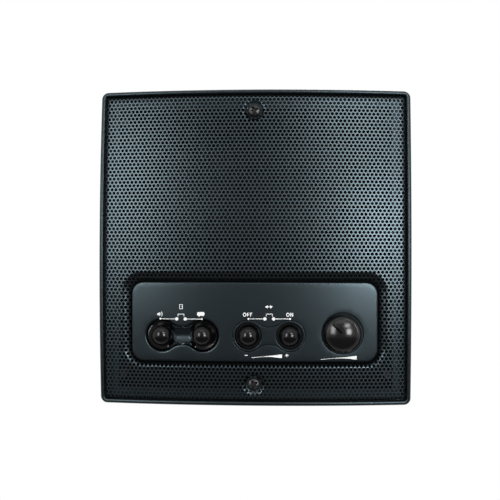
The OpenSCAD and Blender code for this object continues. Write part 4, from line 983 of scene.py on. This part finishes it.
def build_marks():
    """Brackets, letters and signs, as thin plates that stand just proud of the panel."""
    marks = []

    def mark(at, *loops, size=1.0):
        marks.append([np.array(loop, float) * size + at for loop in loops])

    def dot(x, z, r):
        mark((x, z), circle_loop(0, 0, r, 20))

    for x, z, reach in BRACKETS:
        mark((x, z), BRACKET)
        for s in (-1, 1):
            mark((x, z), bar(s * LINE_FROM, 0, s * (reach - LINE_SHORT), 0, LINE_W))
            dot(x + s * reach, z, END_DOT_R)
            dot(x + s * KEY_DOT_X, z, KEY_DOT_R)
    for letter, x in WORDS:
        mark((x, LETTER_Z), *LETTERS[letter], size=LETTER_H)
    mark(HORN_AT, HORN)
    a = np.radians(np.linspace(-48, 48, 13))
    for r in (1.3, 2.2):
        mark(HORN_AT, np.concatenate([arc(0, 0, r, a), arc(0, 0, r - WAVE_W, a[::-1])]))
    mark(BALLOON_AT, rect_loop(5.0, 2.5, 0.9, 0.25, side=2, corner=5))
    mark(BALLOON_AT, TAIL)
    mark(DOOR_AT, *(rect_loop(*door, side=2, corner=2) for door in ((2.3, 3.2, 0.12), (1.6, 2.5, 0.06))))
    dot(DOOR_AT[0] + 0.42, DOOR_AT[1], 0.22)
    for s in (-1, 1):
        mark(ARROW_AT, ARROW * (s, 1))
    mark(ARROW_AT, bar(-0.5, 0, 0.5, 0, SIGN_LINE_W))
    mark(MINUS_AT, bar(-1, 0, 1, 0, MINUS_W))
    mark(PLUS_AT, PLUS)
    for x, z, length, high in WEDGES:
        mark((x, z), [(0, 0), (length, 0), (length, high), (0, WEDGE_LOW)])
    shape = Shape()
    shape.plates(marks, face_of(PANEL_DROP - MARK_HALF), face_of(PANEL_DROP + MARK_HALF), 2.0)
    make("marks", shape, "mark_ink", "station", crease=30)


build_marks()


# Parts on the circuit board
BOARD_BACK, CHIP_Z = -8.0, -57.9
AMPLIFIER = (-5.0, (20.0, 6.5, 3.6), 8, 2.4)
CONTROLLER = (36.0, (26.0, 8.0, 4.0), 10, 2.54)
CANS = [(-62, -58, 5, 15), (-49, -59, 5, 15), (-35, -60, 4, 12), (52, -39, 4, 12), (62.5, -40, 4, 12)]
RESISTORS = [(x, z) for x in (-20, 30) for z in (-44, -40, -36)] + [(12, -62), (12, -58)]


def pin_places(x, size, count, pitch):
    places = x + (np.arange(count) - (count - 1) / 2) * pitch
    return [(place, side * size[1] / 2) for side in (1, -1) for place in places]


def small_rect(x, z, w, h, r, corner=3):
    return rect_loop(w, h, r, z, side=2, corner=corner) + (x, 0)


def build_chip(name, node, x, size):
    """Moulded chip with drafted sides and a dimple at its first leg."""
    shape = Shape()
    w, h, t = size
    rings = []
    for inset, y in ((0.4, 0.25), (0.0, 1.5), (0.0, 1.9), (0.35, t - 0.15), (0.5, t)):
        rings.append(raised(small_rect(x, CHIP_Z, w - 2 * inset, h - 2 * inset, 0.25, 2), BOARD_BACK + y))
    first, last = shape.chain(rings)
    dimple = circle_loop(x - w / 2 + 2.2, CHIP_Z - h / 2 + 2.0, 0.75, 20)
    mouth, bottom = shape.chain([raised(dimple, BOARD_BACK + t), raised(dimple, BOARD_BACK + t - 0.25)])
    for rings in ([first], [last, mouth], [bottom]):
        shape.fill(rings)
    make(name, shape, "black_moulding", "station", node, crease=25)


def build_legs():
    """Bent legs of both chips, which end in the board; each has three blocks."""
    shape = Shape()
    blocks = ((0.65, -0.2, 0.85, 1.55, 1.85), (0.65, 0.55, 0.85, 0.8, 1.7), (0.25, 0.57, 0.83, -0.1, 0.9))
    for x, side in pin_places(*AMPLIFIER) + pin_places(*CONTROLLER):
        out = copysign(1.0, side)
        for wide, near, far, low, high in blocks:
            z0, z1 = sorted((CHIP_Z + side + out * near, CHIP_Z + side + out * far))
            shape.block((x - wide, BOARD_BACK + low, z0), (x + wide, BOARD_BACK + high, z1))
    make("chip_legs", shape, "tin", "station")


def build_cans():
    """Electrolytic capacitors: shrunk sleeve with a stripe, rolled edge and scored aluminium top."""
    shape = Shape()
    for x, z, r, h in CANS:
        profile = [(0, h - 0.3), (0.8 * r, h - 0.3), (0.84 * r, h - 0.05), (0.9 * r, h),
                   (r - 0.12, h - 0.25), (r, h - 0.7), (r, 2.2), (r - 0.3, 1.8), (r - 0.3, 1.4), (r, 1.0),
                   (r, 0.2), (r - 0.2, 0), (0, 0)]
        shape.turned(x, z, [(a, BOARD_BACK + y) for a, y in profile], 48)
    body = len(shape.faces)
    for x, z, r, h in CANS:
        lines = [[bar(x - a, z - b, x + a, z + b, 0.3)] for a, b in ((0.6 * r, 0), (0, 0.6 * r))]
        shape.plates(lines, level(BOARD_BACK + h - 0.35), level(BOARD_BACK + h - 0.27))
    piece = make("cans", shape, "can_sleeve mark_ink can_top", "station", "capacitors", crease=40)
    for face in piece.data.polygons[:body]:
        at = face.center / MM
        x, z, r, _ = min(CANS, key=lambda c: hypot(at.x - c[0], at.z - c[1]))
        far = hypot(at.x - x, at.z - z)
        turn = degrees(atan2(at.z - z, at.x - x))
        if far < 0.8 * r and at.y > BOARD_BACK + 1:
            face.material_index = 2
        elif far > 0.9 * r and 30 < turn < 75:
            face.material_index = 1


def build_resistors():
    """Resistors with colour bands, and leads bent down into the board."""
    shape = Shape()
    count, lead_r, lead_end, drop_x = 24, 0.3, 4.4, 4.25
    middle = BOARD_BACK + 1.1
    half = [(0.2, 0.92), (1.2, 0.92), (1.6, 0.97), (2.05, 1.1), (2.5, 1.1), (2.8, 1.08), (3.1, 0.9),
            (3.2, 0.6)]
    body = [(-s, r) for s, r in half[:0:-1]] + [(-0.8, 0.92), (-0.2, 0.92)] + half
    bands, lead, chosen = {3: 1, 6: 2, 8: 3, 12: 4}, 5, []
    drop = [(0, middle + lead_r), (0.2, middle + 0.25), (lead_r, middle), (lead_r, BOARD_BACK + 0.3),
            (0.7, BOARD_BACK), (0, BOARD_BACK)]
    for x, z in RESISTORS:
        for line, looks, other in ((body, bands, 0), ([(-lead_end, lead_r), (-3.1, lead_r)], {}, lead),
                                   ([(3.1, lead_r), (lead_end, lead_r)], {}, lead)):
            rings = [circle_loop(middle, z, r, count) for _, r in line]
            rings = [np.column_stack([np.full(count, x + s), ring]) for (s, _), ring in zip(line, rings)]
            first, last = shape.chain(rings)
            shape.cap(first, (x + line[0][0], middle, z))
            shape.cap(last, (x + line[-1][0], middle, z))
            chosen += [looks.get(k, other) for k in range(len(line) + 1) for _ in range(count)]
        for s in (-drop_x, drop_x):
            shape.turned(x + s, z, drop, 14)
        chosen += [lead] * (len(shape.faces) - len(chosen))
    looks = "resistor_body phenolic black_insulation red_insulation brass tin"
    piece = make("resistor_set", shape, looks, "station", "resistors", crease=50)
    piece.data.polygons.foreach_set("material_index", chosen)


TRACK_W, BUS_W, BUS_Z, FIRST_RUN_Z, RUN_PITCH, PAD_OUT = 0.5, 1.4, -64.6, -52.4, 0.95, 0.7


def build_board_art():
    """Conductors under the lacquer, solder pads, and printed outlines."""
    amplifier, controller = pin_places(*AMPLIFIER), pin_places(*CONTROLLER)
    left = ((-56, -46.4), (-51, -46.4), (-46, -46.4), (-41, -46.4), (-36, -46.4), (-24.25, -44.0))
    header = ((12.8, -38.0), (15.2, -38.0), (25.75, -46.4), (30, -46.4))
    right = ((40.7, -40.5), (43.3, -40.5), (50.5, -40.5), (53.5, -40.5), (61, -40.5))
    tracks, pads, prints = [], [], []
    for pins, ends, order in ((amplifier, left, range(6)), (controller, header, range(4)),
                              (controller[5:], right, range(4, -1, -1))):
        for (x, side), (end, high), step in zip(pins, ends, order):
            run_z = FIRST_RUN_Z + RUN_PITCH * step
            corners = ((x, CHIP_Z + side + PAD_OUT), (x, run_z), (end, run_z), (end, high))
            tracks += [[bar(*a, *b, TRACK_W, True)] for a, b in zip(corners, corners[1:])]
            pads.append([circle_loop(end, high, 0.8, 20), circle_loop(end, high, 0.3, 12)])
    for lower in (amplifier[8:16], controller[10:15]):
        tracks += [[bar(x, CHIP_Z + side - PAD_OUT, x, BUS_Z, TRACK_W, True)] for x, side in lower]
        tracks.append([bar(lower[0][0], BUS_Z, lower[-1][0], BUS_Z, BUS_W, True)])
    for x, side in amplifier + controller:
        pads.append([small_rect(x, CHIP_Z + side + copysign(PAD_OUT, side), 1.3, 1.8, 0.3)])
    for x, z, r, _ in CANS:
        prints.append([circle_loop(x, z, r + 0.75, 48), circle_loop(x, z, r + 0.5, 48)])
    for x, (w, h, _), _, _ in (AMPLIFIER, CONTROLLER):
        prints.append([small_rect(x, CHIP_Z, w + g, h + 4.2 + g, 0.4) for g in (0.4, 0)])
    for x, z in RESISTORS:
        prints.append([small_rect(x, z, 7.8, 3.2, 0.3), small_rect(x, z, 7.4, 2.8, 0.2)])
    rows = (("board_tracks", tracks, 0.03, "board_copper", "board_laminate"),
            ("board_pads", pads, 0.06, "tin", "zinc_steel"),
            ("board_print", prints, 0.05, "mark_ink", "white_nylon"))
    for name, outlines, proud, look, slot in rows:
        shape = Shape()
        shape.plates(outlines, level(BOARD_BACK - 0.05), level(BOARD_BACK + proud))
        make(name, shape, look, "station")


build_chip("chip_amplifier", "amplifier_chip", *AMPLIFIER[:2])
build_chip("chip_controller", "control_chip", *CONTROLLER[:2])
build_legs()
build_cans()
build_resistors()
build_board_art()


# Floor, light and camera
def combine(tree, operation, a, b):
    node = add_node(tree, "ShaderNodeMath", {0: a, 1: b})
    node.operation = operation
    return node.outputs[0]


def studio_look(tree, coordinates, shade, start, end):
    """Whether a ray sees the studio, whether as a reflection, and how bright: white to the camera,
    and in reflections shaded towards the front, between two places along Y."""
    place = add_node(tree, "ShaderNodeTexCoord").outputs[coordinates]
    along = add_node(tree, "ShaderNodeSeparateXYZ", {0: place}).outputs["Y"]
    path = add_node(tree, "ShaderNodeLightPath").outputs
    reflected = path["Is Glossy Ray"]
    seen = combine(tree, "MAXIMUM", path["Is Camera Ray"], reflected)
    seen = combine(tree, "MAXIMUM", seen, path["Is Transmission Ray"])
    direct = combine(tree, "SUBTRACT", 1.0, reflected)
    return seen, reflected, combine(tree, "MAXIMUM", direct, spread(tree, along, shade, 1.0, start, end))


# The studio is white behind and beside the object, and dimmer in front of it, behind the camera.
# The station hangs at the height of a light switch above the floor.
FRONT_SHADE, FLOOR_SHADE, FLOOR_GLOW, FLOOR_Z, FLOOR_HALF, AMBIENT = 0.39, 0.178, 0.9, -1.2, 4, 0.06
scene.world = bpy.data.worlds.new("studio")
scene.world.use_nodes = True
sky = scene.world.node_tree
sky.nodes.clear()
seen, _, bright = studio_look(sky, "Generated", FRONT_SHADE, -0.9, -0.45)
plain = add_node(sky, "ShaderNodeBackground", {"Color": (1, 1, 1, 1), "Strength": AMBIENT})
white = add_node(sky, "ShaderNodeBackground", {"Color": (1, 1, 1, 1), "Strength": bright})
mix = add_node(sky, "ShaderNodeMixShader", {0: seen, 1: plain.outputs[0], 2: white.outputs[0]})
add_node(sky, "ShaderNodeOutputWorld", {"Surface": mix.outputs[0]})

floor_mesh = bpy.data.meshes.new("floor")
floor_corners = [(x * FLOOR_HALF, y * FLOOR_HALF, FLOOR_Z) for x, y in ((-1, -1), (1, -1), (1, 1), (-1, 1))]
floor_mesh.from_pydata(floor_corners, [], [(0, 1, 2, 3)])
ground = bpy.data.objects.new("floor", floor_mesh)
scene.collection.objects.link(ground)
pale = bpy.data.materials.new("pale_floor")
pale.use_nodes = True
tree = pale.node_tree
tree.nodes.clear()
seen, reflected, bright = studio_look(tree, "Object", FLOOR_SHADE, -0.5, 0.1)
strength = combine(tree, "MULTIPLY", combine(tree, "MULTIPLY", seen, bright), FLOOR_GLOW)
glow = add_node(tree, "ShaderNodeEmission", {"Strength": strength}).outputs[0]
matt = add_node(tree, "ShaderNodeBsdfDiffuse", {"Color": (0.8, 0.8, 0.8, 1)}).outputs[0]
lit = add_node(tree, "ShaderNodeAddShader", {0: matt, 1: glow}).outputs[0]
mix = add_node(tree, "ShaderNodeMixShader", {0: reflected, 1: lit, 2: glow}).outputs[0]
add_node(tree, "ShaderNodeOutputMaterial", {"Surface": mix})
floor_mesh.materials.append(pale)


def seen_from(azimuth, elevation, distance):
    """Place and turn of a thing that faces the object; azimuth runs from the front towards +X."""
    across = cos(elevation)
    at = Vector((sin(azimuth) * across, -cos(azimuth) * across, sin(elevation))) * distance
    return at, (-at).to_track_quat("-Z", "Y")


# Lamps: azimuth and elevation in degrees, distance, width and height in metres, power in watts
LAMPS = {"lamp_left": (-34, 11, 1.2, 0.34, 0.62, 7.0),
         "lamp_right_high": (24, 27, 1.2, 0.40, 0.26, 4.0),
         "lamp_right_low": (28, 4, 1.2, 0.32, 0.38, 8.2),
         "lamp_top": (-5, 52, 1.3, 1.0, 0.7, 2.1),
         "lamp_back": (160, 35, 1.6, 0.9, 0.9, 12.0)}
for name, (azimuth, elevation, distance, width, height, power) in LAMPS.items():
    data = bpy.data.lights.new(name, "AREA")
    data.shape = "RECTANGLE"
    data.size, data.size_y = width, height
    data.energy = power
    lamp = bpy.data.objects.new(name, data)
    lamp.location, turn = seen_from(radians(azimuth), radians(elevation), distance)
    lamp.rotation_euler = turn.to_euler()
    scene.collection.objects.link(lamp)

YAW, ELEVATION, ROLL, DISTANCE = 0.04686, -0.01574, 0.0019, 0.7
camera_data = bpy.data.cameras.new("camera")
camera = bpy.data.objects.new("camera", camera_data)
scene.collection.objects.link(camera)
at, turn = seen_from(YAW, ELEVATION, DISTANCE)
turn = turn.to_matrix() @ Matrix.Rotation(ROLL, 3, "Z")
camera.matrix_world = Matrix.Translation(at) @ turn.to_4x4()
camera_data.sensor_width = 36.0
camera_data.lens = 73.28
camera_data.shift_x = -0.0109
camera_data.shift_y = -0.0047
camera_data.dof.use_dof = False
scene.camera = camera
